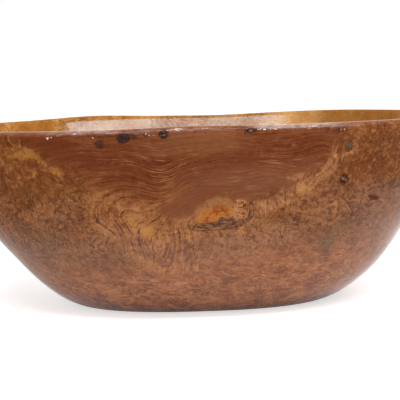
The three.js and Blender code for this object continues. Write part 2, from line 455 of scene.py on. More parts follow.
SWIRL_ZONE = (
    (-74, 72), (-73, 90), (-62, 99), (-42, 99), (-25, 97), (-12, 100), (-2, 86), (-3, 74), (0, 58), (-4, 40),
    (-28, 33), (-46, 46), (-58, 60),
)
DARK_BAND = (
    (-113, 136), (-60, 142), (40, 142), (99, 136), (93, 124), (84, 111), (71, 98), (56, 91), (41, 85),
    (29, 85), (21, 89), (11, 91), (-2, 83), (-8, 88), (-15, 92), (-24, 90), (-32, 90), (-46, 93), (-57, 94),
    (-70, 102), (-81, 110), (-88, 115), (-95, 116), (-97, 120), (-108, 123), (-112, 129),
)
TONGUE = (
    (-29, 82), (-22, 86), (-15, 91), (-8, 94), (4, 95), (12, 94), (11, 91), (4, 89), (-2, 83), (-4, 78),
    (-17, 77), (-25, 78),
)
HEART = (
    (-4, 77), (-2, 82), (3, 86), (8, 89), (13, 90), (19, 88), (22, 84), (22, 79), (20, 75), (12, 73), (4, 70),
    (-1, 71),
)
HEART_ORANGE = (
    (-2, 77), (3, 80), (9, 83), (15, 84), (22, 82), (22, 78), (17, 74), (8, 71), (1, 70), (-1, 73),
)
HEART_SPECKLE = ((21, 82), (24, 88), (30, 87), (32, 81), (31, 75), (25, 72), (19, 74))
RED_PATCH = ((-112, 132), (-84, 133), (-72, 124), (-64, 113), (-78, 111), (-96, 114), (-106, 122))
RIBBON_ROUTE = (
    (28, 69), (34, 77), (41, 81), (48.5, 84), (56, 87.5), (62.5, 90), (68, 93), (73, 97.5), (77.5, 101.5),
    (82.5, 105), (86.5, 109), (88.6, 113), (89, 118), (89.5, 123),
)
RIBBON_HALF_WIDTHS = (2.5, 5.2, 5.5, 5.5, 5, 5, 4.4, 4.2, 4.8, 4, 2.5)
STRAND_ROUTES = (
    ((58, 101), (69, 101.8), (76, 103.5), (83, 107)),
    ((91, 112.5), (98, 116), (102, 121), (105, 127), (107, 134)),
)
STRAND_HALF_WIDTH = 1.8
CRACKS = (
    ((-115, 113), (-109, 114)),
    ((-100, 122), (-96.7, 118), (-96, 114.3), (-97.4, 111.5), (-101, 108.6)),
    ((-88, 114), (-86, 110), (-88, 106)),
    ((-101.6, 107.7), (-97.2, 103.8), (-91.7, 101.3)),
    ((-115, 131), (-116, 125), (-113, 121)),
    ((-69, 118), (-66, 115), (-61, 113)),
    ((127, 70), (131, 71), (135, 72.5)),
    ((109, 78), (117, 77)),
    ((64, 80), (68, 81), (70, 83)),
    ((22, 63), (24, 59), (29, 56), (34, 56)),
    ((92, 118), (95, 124), (99, 129)),
    ((55.5, 76), (53.5, 66), (54, 57)),
    ((59, 76), (57, 66), (58, 54)),
    ((63, 76), (61, 65), (62, 56)),
    ((67, 76), (65, 66), (67, 58)),
    ((79, 80), (76, 84), (72, 82), (75, 77)),
    ((66, 86), (63, 88.5), (62, 92), (61.5, 96)),
    ((74, 93), (71.5, 90), (69, 87)),
    ((57.5, 92), (56.3, 88), (57, 83)),
    ((51.5, 90), (50.3, 86), (51, 81)),
    ((45.5, 87.5), (44.3, 84), (45, 79)),
    ((-33, 74), (-40, 70), (-42, 64), (-41, 57), (-39, 52)),
    ((-21, 63), (-18, 65), (-15, 65)),
)
GOLD_PATCHES = (
    (-47, 74, 5, 5, 0.9), (-36, 66, 6, 7, 1.1), (-27, 63, 4, 6, 0.6), (-42, 41, 7, 3, 0.6),
    (-33, 44, 5, 3, 0.6), (-26, 38, 2.5, 3, 0.8), (-4, 39, 2, 2.5, 1.2), (-18, 66, 5, 8, 0.5),
    (-8, 64, 5, 9, 0.7), (-2, 50, 4, 8, 0.4),
    (-52, 84, 4, 3, 0.4), (27, 66, 3.5, 4, 0.9), (68, 94, 3.2, 4.4, 1.1), (-113, 121, 9, 4, 0.75),
    (-127, 119, 8, 6, 0.3), (-84, 110, 6, 4, 0.4), (114, 129, 4, 3, 0.6), (62, 122, 3, 2, 0.7),
    (40, 119, 4, 1.5, 0.5), (89.5, 114, 2.5, 3.5, 0.8), (-93, 93, 6, 5, 0.3),
    (-121, 105, 5, 3, 0.5), (125, 115, 14, 10, 0.3), (-119, 124, 9, 5, 0.4), (-104, 117, 7, 4, 0.6),
    (-97, 110, 6, 3, 0.7), (-126, 111, 7, 5, 0.5), (-91, 109.5, 5, 3, 0.6), (-110, 107, 5, 3, 0.5),
)
PURPLE_PATCHES = (
    (-50, 60, 6, 3, 0.8), (-36, 50, 4, 3, 0.9), (-28, 44, 2, 3, 1), (-14, 77, 10, 2, 0.6),
    (-10, 48, 2, 10, 0.6), (35, 61, 4, 5, 0.4), (-95, 74, 8, 6, 0.2),
)
MIST_PATCHES = (
    (88, 56, 6, 7, 0.7), (83, 50, 5, 5, 0.6), (95, 63, 5, 5, 0.5), (103, 66, 6, 4, 0.4),
    (-107, 58, 12, 11, 0.55), (-84, 52, 10, 8, 0.2), (33, 78, 4, 4, 0.3), (-98, 76, 13, 9, 0.25),
    (-112, 92, 6, 6, 0.2),
)
# Dark spots of the figure. The wide one at -130 across and 90 up is painted shade, which darkens the wall
# near the left end.
DARK_SPOTS_AND_SHADE = (
    (-131, 105, 4, 5, 0.9), (-122, 102, 4, 2, 0.6), (134, 86, 5, 5, 0.5), (118, 96, 3, 2, 0.7),
    (92, 131, 7, 4, 0.7), (-112, 128, 5, 3, 0.5), (-130, 90, 10, 12, 0.4), (95, 108, 5, 4, 0.6),
    (85, 99, 4, 2.5, 0.5),
    (50, 89, 8, 5, 0.8), (74, 99, 5, 4, 0.4), (64, 88, 6, 4, 0.4), (127, 92, 9, 6, 0.5), (-60, 77, 8, 7, 0.4),
)
PALE_PATCHES = (
    (66, 80, 14, 8, 0.4), (83, 92, 9, 9, 0.6), (86, 76, 12, 9, 0.6), (50, 61, 20, 8, 0.7),
    (16, 60, 18, 8, 0.5), (36, 50, 14, 8, 0.4), (-94, 80, 13, 8, 0.8), (-112, 76, 9, 8, 0.4),
    (-40, 56, 14, 10, 0.4), (110, 92, 10, 8, 0.3), (6, 48, 16, 8, 0.4), (-10, 40, 14, 8, 0.4),
)
# Painted shade: dark patches in the strip just under the lip's highlight line.
LIP_SHADE_PATCHES = (
    (-66, 132.6, 13, 1.6, 0.8), (-41, 130.8, 5, 1.8, 1.1), (-46, 133.4, 9, 1.4, 0.85),
    (-25, 133.2, 8, 1.6, 0.8),
    (39, 133.6, 8, 1, 1.3), (30, 132, 5, 1.4, 0.7), (64, 132.8, 12, 1.2, 0.7), (88, 131, 8, 1.5, 0.75),
    (-102, 131.4, 8, 1.6, 0.6), (-34, 132.5, 3, 1.5, 0.8), (-1, 133.6, 14, 1.2, 0.5),
)
# Painted glints: white specks along the lip, each given as across, up, how wide, how tall and how strong.
GLINTS = (
    (-96, 131.8, 3, 1.1, 1), (-84, 132, 2, 0.8, 0.7), (-66, 131.6, 4, 0.9, 0.5), (-31, 132.6, 3, 1.2, 0.8),
    (-19, 133, 3, 1.2, 0.8), (45, 133.4, 9, 0.8, 0.8), (76, 133, 4, 0.8, 0.5), (93, 131.4, 4, 0.9, 0.8),
)
SPECKLE_PATCHES = (
    (-96, 78, 34, 34, 1), (98, 76, 36, 26, 0.9), (126, 118, 24, 22, 0.45), (45, 62, 26, 14, 0.45),
    (-60, 50, 30, 14, 0.4),
)
OUTLINES = {
    "swirl": SWIRL_ZONE, "dark_band": DARK_BAND, "tongue": TONGUE, "heart": HEART,
    "heart_orange": HEART_ORANGE, "heart_speckle": HEART_SPECKLE, "red_patch": RED_PATCH,
}
PATCHES = {
    "gold": GOLD_PATCHES, "purple": PURPLE_PATCHES, "mist": MIST_PATCHES, "dark_spots_and_shade": DARK_SPOTS_AND_SHADE,
    "speckle": SPECKLE_PATCHES, "pale": PALE_PATCHES, "lip_shade": LIP_SHADE_PATCHES, "glints": GLINTS,
}

# The fields stored on the bowl's mesh. The zones are distances to an outline, above 0 inside it.
ZONES = (*OUTLINES, "ribbon")
FIELDS = (
    "rings", "ring_pitch", *ZONES, "ribbon_along", "ribbon_across", "crack", "crack_near", *PATCHES,
    "front", "outside", "lip", "stain",
)
FAR_OUTSIDE = -40
FRONT_FADE = 12
STAIN_REACH = 2.5
SIDE_STAIN = 0.4

# Spacing of the growth rings in millimetres: its limits, and the step over which their slope is taken
RING_PITCHES = (0.5, 12)
SLOPE_STEP = 0.5
LEAST_SLOPE = 1e-3

# How a crack fades, in millimetres: the run past its end, and the start and run beside it
CRACK_END_FADE = 1.2
CRACK_SIDE_START = 1.2
CRACK_SIDE_FADE = 2

# Places on the wall's section: where the lip turns the outside into the inside, its middle and half its run
LIP_TURN = (1.35, 1.65)
LIP_MIDDLE = 1.5
LIP_REACH = 0.5


def ease(value, low, high):
    """0 at the low end and 1 at the high end, with a smooth run between."""
    share = np.clip((value - low) / (high - low), 0, 1)
    return share * share * (3 - 2 * share)


def front_figure(front):
    """The drawn figure at places on the front, in millimetres: the name of each field and its values."""
    places = [place for _, route in RING_ROUTES for place in route]
    numbers = [number for number, route in RING_ROUTES for _ in route]
    sheet = SmoothSheet(places, np.array(numbers, float), RING_GIVE)
    rings = sheet.at(front)
    steps = [sheet.at(front + step) - rings for step in ((SLOPE_STEP, 0), (0, SLOPE_STEP))]
    slope = np.hypot(*steps) / SLOPE_STEP
    away, side, along = from_line(front, smooth_line(RIBBON_ROUTE))
    marks = np.linspace(0, along.max(), len(RIBBON_HALF_WIDTHS))
    strands = [STRAND_HALF_WIDTH - from_line(front, smooth_line(route))[0] for route in STRAND_ROUTES]
    crack = np.full(len(front), float(FAR_OUTSIDE))
    crack_near = np.zeros(len(front))
    nearest = np.full(len(front), np.inf)
    for route in CRACKS:
        line = smooth_line(route)
        distance, hand, passed = from_line(front, line)
        beyond = (passed <= 0) | (passed >= passed.max())
        beside = 1 - (distance - CRACK_SIDE_START) / CRACK_SIDE_FADE
        shows = np.clip(np.where(beyond, 1 - distance / CRACK_END_FADE, beside), 0, 1)
        nearer = distance < nearest
        nearest = np.where(nearer, distance, nearest)
        crack = np.where(nearer, distance * hand, crack)
        crack_near = np.where(nearer, shows, crack_near)
    return {
        "rings": rings,
        "ring_pitch": np.clip(1 / np.maximum(slope, LEAST_SLOPE), *RING_PITCHES),
        "ribbon": np.max([np.interp(along, marks, RIBBON_HALF_WIDTHS) - away, *strands], axis=0),
        "ribbon_along": along,
        "ribbon_across": away * side,
        "crack": crack,
        "crack_near": crack_near,
        **{name: inside(front, outline) for name, outline in OUTLINES.items()},
        **{name: patches(front, spots) for name, spots in PATCHES.items()},
    }


def knot_stain(form, points):
    """How strongly the knots stain the wood: 1 at a knot's edge, and 0 from the reach of the stain on."""
    stain = np.zeros(len(points))
    for knot in KNOTS:
        back = np.array(form.place_on_skin(knot.around, knot.drop * MILLIMETRE).inverted())
        flat = (points @ back[:3, :3].T + back[:3, 3]) / MILLIMETRE
        reach = np.abs(knot.outline).max() + STAIN_REACH
        near = np.abs(flat).max(axis=1) < reach
        strength = 1 if knot in RIM_KNOTS else SIDE_STAIN
        shade = strength * ease(inside(flat[near][:, :2], knot.outline), -STAIN_REACH, 0)
        stain[near] = np.maximum(stain[near], shade)
    return stain


def draw_figure(piece, form, along):
    """Stores the wood's figure on a piece's mesh, as attributes that its material reads."""
    points = mesh_points(piece)
    outside = 1 - ease(along, *LIP_TURN)
    facing = outside * (1 - ease(points[:, 1] / MILLIMETRE, -2 * FRONT_FADE, 0))
    shown = facing > 0
    for name, values in front_figure(points[shown][:, (0, 2)] / MILLIMETRE).items():
        everywhere = np.full(len(points), float(FAR_OUTSIDE if name in ZONES else 0))
        everywhere[shown] = values
        store(piece, name, everywhere)
    store(piece, "front", facing)
    store(piece, "outside", outside)
    store(piece, "lip", 1 - np.clip(np.abs(along - LIP_MIDDLE) / LIP_REACH, 0, 1))
    store(piece, "stain", knot_stain(form, points))


# Meshes


def mesh_points(piece):
    """The points of a piece's mesh as an array."""
    points = np.empty(3 * len(piece.data.vertices))
    piece.data.vertices.foreach_get("co", points)
    return points.reshape(-1, 3)


def set_points(piece, points):
    piece.data.vertices.foreach_set("co", np.asarray(points, float).ravel())
    piece.data.update()


def store(piece, name, values):
    """Stores one number for each point of a piece's mesh."""
    attribute = piece.data.attributes.new(name, "FLOAT", "POINT")
    attribute.data.foreach_set("value", values.astype(np.float32))


def deselect_all():
    for thing in bpy.context.view_layer.objects:
        thing.select_set(False)


def make_active(piece):
    deselect_all()
    piece.select_set(True)
    bpy.context.view_layer.objects.active = piece


def edit(piece, select="SELECT"):
    make_active(piece)
    bpy.ops.object.mode_set(mode="EDIT")
    bpy.ops.mesh.select_mode(type="VERT")
    bpy.ops.mesh.select_all(action=select)


def end_edit():
    bpy.ops.object.mode_set(mode="OBJECT")


def extrude_ring(shift, resize):
    """Extrudes the selected ring of edges to a new height and size."""
    bpy.ops.mesh.extrude_region_move(TRANSFORM_OT_translate={"value": shift})
    bpy.ops.transform.resize(value=resize, center_override=(0, 0, 0))


def select_points(piece, first, last):
    """Leaves only the points from the first up to the last selected, back in edit mode."""
    end_edit()
    numbers = np.arange(len(piece.data.vertices))
    piece.data.vertices.foreach_set("select", (numbers >= first) & (numbers < last))
    bpy.ops.object.mode_set(mode="EDIT")


def apply_modifier(piece, kind, **settings):
    modifier = piece.modifiers.new(kind.title(), kind)
    for name, value in settings.items():
        setattr(modifier, name, value)
    make_active(piece)
    bpy.ops.object.modifier_apply(modifier=modifier.name)


def hand_in(piece, name, node, material):
    """Names a finished piece, gives it its material, attaches it to the body and hides the CAD node it stands
    for.
    """
    piece.name = piece.data.name = name
    piece.data.materials.clear()
    piece.data.materials.append(material)
    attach(piece, BODY)
    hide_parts(node)


def bowl_cage(form):
    """A coarse bowl, extruded ring by ring, whose points carry their turn and their place on the section."""
    starts = {"outer": 0, "lip": 1, "inner": 2, "floor": 3}
    rings = np.concatenate([
        start + np.arange(CAGE_RINGS[part]) / CAGE_RINGS[part] for part, start in starts.items()
    ])
    long = form.skin(0, rings)
    short = form.skin(math.pi / 2, rings)
    bpy.ops.mesh.primitive_circle_add(vertices=CAGE_SIDES, radius=long[0, 0], fill_type="NOTHING")
    cage = bpy.context.object
    edit(cage)
    bpy.ops.transform.resize(value=(1, short[0, 1] / long[0, 0], 1))
    for ring in range(1, len(rings)):
        resize = (long[ring, 0] / long[ring - 1, 0], short[ring, 1] / short[ring - 1, 1], 1)
        extrude_ring((0, 0, long[ring, 2] - long[ring - 1, 2]), resize)
    bpy.ops.mesh.select_all(action="DESELECT")
    select_points(cage, 0, CAGE_SIDES)
    foot_rings = -(1 + np.arange(CAGE_FOOT_RINGS - 1)) / CAGE_FOOT_RINGS
    for ring in foot_rings:
        extrude_ring((0, 0, 0), (1 + ring, 1 + ring, 1))
    end_edit()
    store_cage_places(cage, np.concatenate((rings, foot_rings)))
    close_pole(cage, CAGE_SIDES * len(rings), len(cage.data.vertices), FOOT_MIDDLE)
    close_pole(cage, CAGE_SIDES * (len(rings) - 1), CAGE_SIDES * len(rings), FLOOR_MIDDLE)
    return cage


def store_cage_places(cage, rings):
    """Each point's turn, as a cosine and a sine, and its place on the section. The front is more crowded."""
    sides = mesh_points(cage)[:CAGE_SIDES]
    even = np.arctan2(sides[:, 1] / np.abs(sides[:, 1]).max(), sides[:, 0] / np.abs(sides[:, 0]).max())
    turn = even - FRONT_CROWDING * np.cos(even)
    turn = np.tile(turn, len(rings))
    places = np.stack((np.cos(turn), np.sin(turn), np.repeat(rings, CAGE_SIDES)), axis=1)
    attribute = cage.data.attributes.new("place", "FLOAT_VECTOR", "POINT")
    attribute.data.foreach_set("vector", places.astype(np.float32).ravel())


def close_pole(cage, first, last, along):
    """Extrudes one ring of the cage into a point at its middle, which has that place along the section."""
    edit(cage, "DESELECT")
    select_points(cage, first, last)
    bpy.ops.mesh.extrude_region_move(TRANSFORM_OT_translate={"value": (0, 0, 0)})
    bpy.ops.mesh.merge(type="CENTER")
    end_edit()
    for point in cage.data.vertices:
        if point.select:
            cage.data.attributes["place"].data[point.index].vector = (0, 0, along)


def cage_places(piece):
    """The turn and the section place of each point of the bowl. Points made by a cut count as outer skin."""
    places = np.empty(3 * len(piece.data.vertices), np.float32)
    piece.data.attributes["place"].data.foreach_get("vector", places)
    cosine, sine, along = places.reshape(-1, 3).T.astype(float)
    return np.arctan2(sine, cosine), along


def carve_bowl(form):
    """The bowl's wood in one piece, with a blind pocket for each knot and each pocket of bark."""
    bowl = bowl_cage(form)
    edit(bowl)
    bpy.ops.mesh.subdivide(number_cuts=CAGE_CUTS)
    bpy.ops.mesh.normals_make_consistent(inside=False)
    end_edit()
    turn, along = cage_places(bowl)
    set_points(bowl, form.skin(turn, along))
    cutters = []
    for knot in KNOTS:
        outline = grown(knot.line(), SEAT_GAP)
        cutter = plug_blank(outline, knot.depth * MILLIMETRE + SEAT_GAP, CUT_PROUD)
        cutter.data.transform(form.place_on_skin(knot.around, knot.drop * MILLIMETRE))
        cutters.append(cutter)
    make_active(cutters[0])
    for cutter in cutters:
        cutter.select_set(True)
    bpy.ops.object.join()
    apply_modifier(bowl, "BOOLEAN", object=cutters[0], operation="DIFFERENCE", solver="EXACT")
    bpy.data.objects.remove(cutters[0])
    edit(bowl)
    bpy.ops.mesh.normals_make_consistent(inside=False)
    end_edit()
    bpy.ops.object.shade_smooth_by_angle(angle=SHARP_ANGLE)
    draw_figure(bowl, form, cage_places(bowl)[1])
    bowl.data.attributes.remove(bowl.data.attributes["place"])
    return bowl


# The knots and the bark


class Knot:
    """A knot or a pocket of bark: where it sits, how deep, and its outline from outside, in millimetres."""

    def __init__(self, name, around, drop, depth, outline):
        self.name = name
        self.around = around
        self.drop = drop
        self.depth = depth
        self.outline = outline

    def line(self):
        """The smooth outline in metres."""
        return smooth_line(self.outline, closed=True) * MILLIMETRE


RIM_PIN_KNOT = Knot("rim_pin_knot", -108.2, 9, 5, (
    (-2.7, 0.2), (-1.3, 2), (1.5, 1.8), (2.7, -0.2), (1.2, -1.9), (-1.6, -1.8),
))
LEFT_RIM_BARK = Knot("left_rim_bark", -103.7, 5.7, 5, (
    (-3.3, -0.6), (-2.4, 1.8), (-0.4, 2.9), (2.4, 2.3), (4.4, 0.4), (2.5, -2), (-1, -3), (-3, -2.2),
))
MIDDLE_RIM_BARK = Knot("middle_rim_bark", -96.4, 4.2, 4.5, (
    (-2.6, -0.6), (-1.5, 1.6), (0.3, 2.3), (2.4, 1.8), (2.8, -0.6), (1.8, -2.6), (-0.6, -2.2),
))
RIGHT_RIM_BARK = Knot("right_rim_bark", -80.3, 3.2, 3.5, (
    (-3.4, -0.2), (-1.4, 1.2), (1, 1.4), (3.4, 0.4), (1.6, -0.9), (-1.2, -1.1),
))
RINGED_KNOT = Knot("ringed_knot", -60.6, 15.9, 6, (
    (-2.7, -0.2), (-2.5, 2.8), (-0.9, 4.5), (1.4, 4), (2.9, 1), (2.8, -2.6), (1, -4.4), (-1.3, -3.4),
))
SPLIT_KNOT = Knot("split_knot", -59.3, 38.4, 6, (
    (-3, -0.8), (-3.3, 2.6), (-1.5, 4.4), (1.6, 3.6), (3.2, 0.4), (3.2, -3), (1.2, -4.4), (-1.4, -3.4),
))
LENS_KNOT = Knot("lens_knot", -49, 53, 4, (
    (-5.8, 0.9), (-3.4, 1.9), (0.8, 1.5), (6, -0.8), (3.6, -2), (-1.4, -1.5),
))
HEART_SEAM = Knot("heart_bark_seam", -85.1, 63.3, 5, (
    (-20, -7.5), (-13, -8), (-6, -7.5), (2, -7), (8, -6), (13, -4), (17, -1.5), (20, 2.2), (20.6, 7.5),
    (20, 12.8), (18.8, 14.4), (17.6, 12.8), (17.7, 7), (16.4, 2.8), (13, 0.8), (8.5, 0.6), (5.5, 2.4),
    (2, 2.4), (-0.8, 3), (-2.6, 0.4), (-6.5, -1), (-12, -2), (-15.5, -1.7), (-18.4, -4),
))
RIM_KNOTS = (RIM_PIN_KNOT, LEFT_RIM_BARK, MIDDLE_RIM_BARK, RIGHT_RIM_BARK)
KNOTS = (*RIM_KNOTS, RINGED_KNOT, SPLIT_KNOT, LENS_KNOT, HEART_SEAM)

# The fields stored on each plug: the place on its own plane, and how far in from its outline that is
PLUG_FIELDS = ("knot_across", "knot_up", "knot_edge")

# How far a plug's face falls away at its outline, and over what width, in millimetres
WORN_DEPTH = 0.06
WORN_WIDTH = 0.6


def plug_blank(outline, depth, proud):
    """A straight-sided plug in a knot's own frame: X across, Y up the wall and Z out of it."""
    bpy.ops.mesh.primitive_circle_add(vertices=len(outline), radius=SEAT_GAP, fill_type="NGON")
    blank = bpy.context.object
    set_points(blank, np.column_stack((outline, np.full(len(outline), -depth))))
    edit(blank)
    bpy.ops.mesh.extrude_region_move(TRANSFORM_OT_translate={"value": (0, 0, depth + proud)})
    bpy.ops.mesh.select_all(action="SELECT")
    bpy.ops.mesh.normals_make_consistent(inside=False)
    end_edit()
    return blank


def skin_heights(form, knot, place, flat):
    """How far the bowl's skin stands out of a knot's own flat plane, at places on that plane."""
    turn = math.radians(knot.around)
    along = form.along_at_height(turn, form.height - knot.drop * MILLIMETRE)
    turns = np.linspace(turn - PATCH_TURN, turn + PATCH_TURN, PATCH_STEPS)
    alongs = np.linspace(along - PATCH_CLIMB, along + PATCH_CLIMB, PATCH_STEPS)
    grid = form.skin(np.repeat(turns, PATCH_STEPS), np.tile(alongs, PATCH_STEPS))
    back = place.inverted()
    corners = [back @ Vector(point) for point in grid]
    rows = np.arange(PATCH_STEPS * (PATCH_STEPS - 1)).reshape(PATCH_STEPS - 1, PATCH_STEPS)[:, :-1].ravel()
    faces = [(row, row + PATCH_STEPS, row + PATCH_STEPS + 1, row + 1) for row in rows.tolist()]
    tree = BVHTree.FromPolygons(corners, faces)
    heights = []
    for across, up in flat:
        hit = tree.ray_cast(Vector((across, up, PATCH_ABOVE)), Vector((0, 0, -1)))[0]
        heights.append(hit.z)
    return np.array(heights)


def seat_plug(form, knot, fineness, relief, mark=""):
    """A finely meshed plug in its pocket. Its face follows the bowl's skin, lowered by the relief.

    A mark is an attribute that is 1 all over the plug, by which its material knows it.
    """
    place = form.place_on_skin(knot.around, knot.drop * MILLIMETRE)
    depth = knot.depth * MILLIMETRE
    plug = plug_blank(knot.line(), depth, 0)
    apply_modifier(plug, "REMESH", mode="VOXEL", voxel_size=fineness)
    points = mesh_points(plug)
    flat = points[:, :2] / MILLIMETRE
    edge = inside(flat, knot.outline)
    face = skin_heights(form, knot, place, points[:, :2]) - relief(flat, edge) * MILLIMETRE
    share = np.clip((points[:, 2] + depth) / depth, 0, 1)
    points[:, 2] = -depth + share * (face + depth)
    set_points(plug, points)
    plug.data.transform(place)
    for name, values in zip(PLUG_FIELDS, (*flat.T, edge)):
        store(plug, name, values)
    if mark:
        store(plug, mark, np.ones(len(edge)))
    make_active(plug)
    bpy.ops.object.shade_smooth_by_angle(angle=SHARP_ANGLE)
    return plug


def lumps(flat, size, seed):
    """Smooth lumps between -1 and 1, of about the given size in millimetres."""
    return np.array([noise.noise(Vector((across / size, up / size, seed))) for across, up in flat])


def worn_edge(edge):
    """How far the face falls away towards the outline."""
    return WORN_DEPTH * (1 - ease(edge, 0, WORN_WIDTH))


def bark_relief(flat, edge):
    """Cracked bark: lumps with deep furrows between them."""
    furrow = 1 - ease(np.abs(lumps(flat, 1.6, 3)), 0, 0.12)
    return 0.08 + worn_edge(edge) + 0.05 * lumps(flat, 0.8, 11) + 0.2 * furrow


def ringed_relief(flat, edge):
    """Low rings round a sunken pith."""
    reach = np.hypot(flat[:, 0] * 1.5, flat[:, 1])
    return 0.08 + worn_edge(edge) + 0.04 * np.cos(reach * 4.2) + 0.3 * bell(reach, 1)


def split_relief(flat, edge):
    """A knot cracked across its middle."""
    crack = np.abs(flat[:, 1] + 0.35 * flat[:, 0] - 0.3 + 0.3 * lumps(flat, 1.5, 5))
    return 0.09 + worn_edge(edge) + 0.05 * lumps(flat, 1, 7) + 0.3 * (1 - ease(crack, 0.1, 0.6))


def smooth_relief(flat, edge):
    """A hard knot, polished nearly level with the wood."""
    return 0.06 + worn_edge(edge) + 0.03 * lumps(flat, 1.5, 9)


# Materials


class Wire:
    """What a node puts out. A sum or a product written with it adds the node that works it out."""

    def __init__(self, board, socket):
        self.board = board
        self.socket = socket

    def __add__(self, other):
        return self.board.maths("ADD", self, other)

    def __sub__(self, other):
        return self + -other

    def __mul__(self, other):
        return self.board.maths("MULTIPLY", self, other)

    def __truediv__(self, other):
        return self.board.maths("DIVIDE", self, other)

    def __neg__(self):
        return self * -1.0

    def __abs__(self):
        return self.board.maths("ABSOLUTE", self)


class Board:
    """Adds nodes to one node tree. An input is a number, a colour, a vector or a wire from another node."""

    def __init__(self, tree):
        self.tree = tree

    def node(self, kind, inputs=(), **settings):
        made = self.tree.nodes.new(kind)
        number = len(self.tree.nodes)
        made.location = (NODE_COLUMN * (number // NODES_HIGH), -NODE_ROW * (number % NODES_HIGH))
        for name, value in settings.items():
            setattr(made, name, value)
        for socket, value in dict(inputs).items():
            if isinstance(value, Wire):
                self.tree.links.new(value.socket, made.inputs[socket])
            else:
                made.inputs[socket].default_value = value
        return made

    def wire(self, kind, inputs=(), output=0, **settings):
        """Adds a node and returns one of its outputs."""
        return Wire(self, self.node(kind, inputs, **settings).outputs[output])

    def wires(self, kind, inputs=(), **settings):
        """Adds a node and returns all its outputs by name."""
        return {socket.name: Wire(self, socket) for socket in self.node(kind, inputs, **settings).outputs}

    def maths(self, operation, *values, clamp=False):
        return self.wire("ShaderNodeMath", enumerate(values), operation=operation, use_clamp=clamp)

    def less(self, value):
        """What is missing from 1."""
        return self.maths("SUBTRACT", 1.0, value, clamp=True)

    def ease(self, value, low, high, to_low=0.0, to_high=1.0):
        """Runs smoothly between two numbers while the value runs from low to high."""
        inputs = {0: value, 1: low, 2: high, 3: to_low, 4: to_high}
        return self.wire("ShaderNodeMapRange", inputs, interpolation_type="SMOOTHSTEP")

    def blend(self, share, first, second):
        """A number between two others."""
        first_socket, second_socket = MIX_NUMBERS
        return self.wire("ShaderNodeMix", {0: share, first_socket: first, second_socket: second})

    def tint(self, share, first, second):
        """A colour between two others."""
        first_socket, second_socket = MIX_COLOURS
        inputs = {0: share, first_socket: first, second_socket: second}
        return self.wire("ShaderNodeMix", inputs, MIXED_COLOUR, data_type="RGBA")

    def attribute(self, name):
        return self.wire("ShaderNodeAttribute", output="Fac", attribute_name=name)

    def place(self):
        return self.wire("ShaderNodeTexCoord", output="Object")

    def parts(self, vector):
        return self.wires("ShaderNodeSeparateXYZ", {0: vector}).values()

    def vector(self, x, y, z):
        return self.wire("ShaderNodeCombineXYZ", {0: x, 1: y, 2: z})

    def noise(self, place, scale, detail=2.0, roughness=0.5, distortion=0.0):
        names = ("Vector", "Scale", "Detail", "Roughness", "Distortion")
        values = (place, scale, detail, roughness, distortion)
        return self.wire("ShaderNodeTexNoise", zip(names, values), "Fac")

    def stray(self, *settings):
        """Noise about 0, where plain noise is about a half."""
        return self.noise(*settings) - 0.5

    def reach(self, across, up):
        """The straight distance from the middle."""
        return self.maths("SQRT", across * across + up * up)

    def cells(self, place, scale):
        return self.wire("ShaderNodeTexVoronoi", {"Vector": place, "Scale": scale}, "Distance")

    def ramp(self, value, *stops):
        made = self.node("ShaderNodeValToRGB", {"Fac": value})
        elements = made.color_ramp.elements
        elements[0].position, elements[0].color = stops[0][0], opaque(stops[0][1])
        elements[1].position, elements[1].color = stops[-1][0], opaque(stops[-1][1])
        for position, colour in stops[1:-1]:
            elements.new(position).color = opaque(colour)
        return Wire(self, made.outputs["Color"])

    def group(self, tree, inputs):
        """Places a node group, with its inputs by name, and returns its outputs by name."""
        return self.wires("ShaderNodeGroup", inputs, node_tree=tree)


def opaque(colour):
    """A colour with full cover, or the same colour where it has cover already."""
    return (*colour[:3], 1.0)


def fresh_board(owner):
    """An empty board for the nodes of a material or a world."""
    owner.use_nodes = True
    owner.node_tree.nodes.clear()
    return Board(owner.node_tree)


def new_material(name):
    """A new material and its empty board."""
    material = bpy.data.materials.new(name)
    return material, fresh_board(material)


def new_group(name, inputs, outputs):
    """The board and the inputs of a new shader node group, which takes a place and named numbers."""
    tree = bpy.data.node_groups.new(name, "ShaderNodeTree")
    tree.interface.new_socket(name="Place", in_out="INPUT", socket_type="NodeSocketVector")
    for socket in inputs:
        tree.interface.new_socket(name=socket, in_out="INPUT", socket_type="NodeSocketFloat")
    for socket in outputs:
        tree.interface.new_socket(name=socket, in_out="OUTPUT", socket_type="NodeSocketFloat")
    board = Board(tree)
    return board, board.wires("NodeGroupInput")


def ragged_edge_group():
    """Turns a distance from an outline, in millimetres, into a mask with a ragged edge."""
    board, given = new_group("Ragged edge", ("Distance", "Softness", "Raggedness", "Grain"), ("Mask",))
    stray = board.stray(given["Place"], given["Grain"], 3.0, 0.6)
    distance = given["Distance"] + stray * given["Raggedness"]
    mask = board.ease(distance, -given["Softness"], given["Softness"])
    board.node("NodeGroupOutput", {"Mask": mask})
    return board.tree


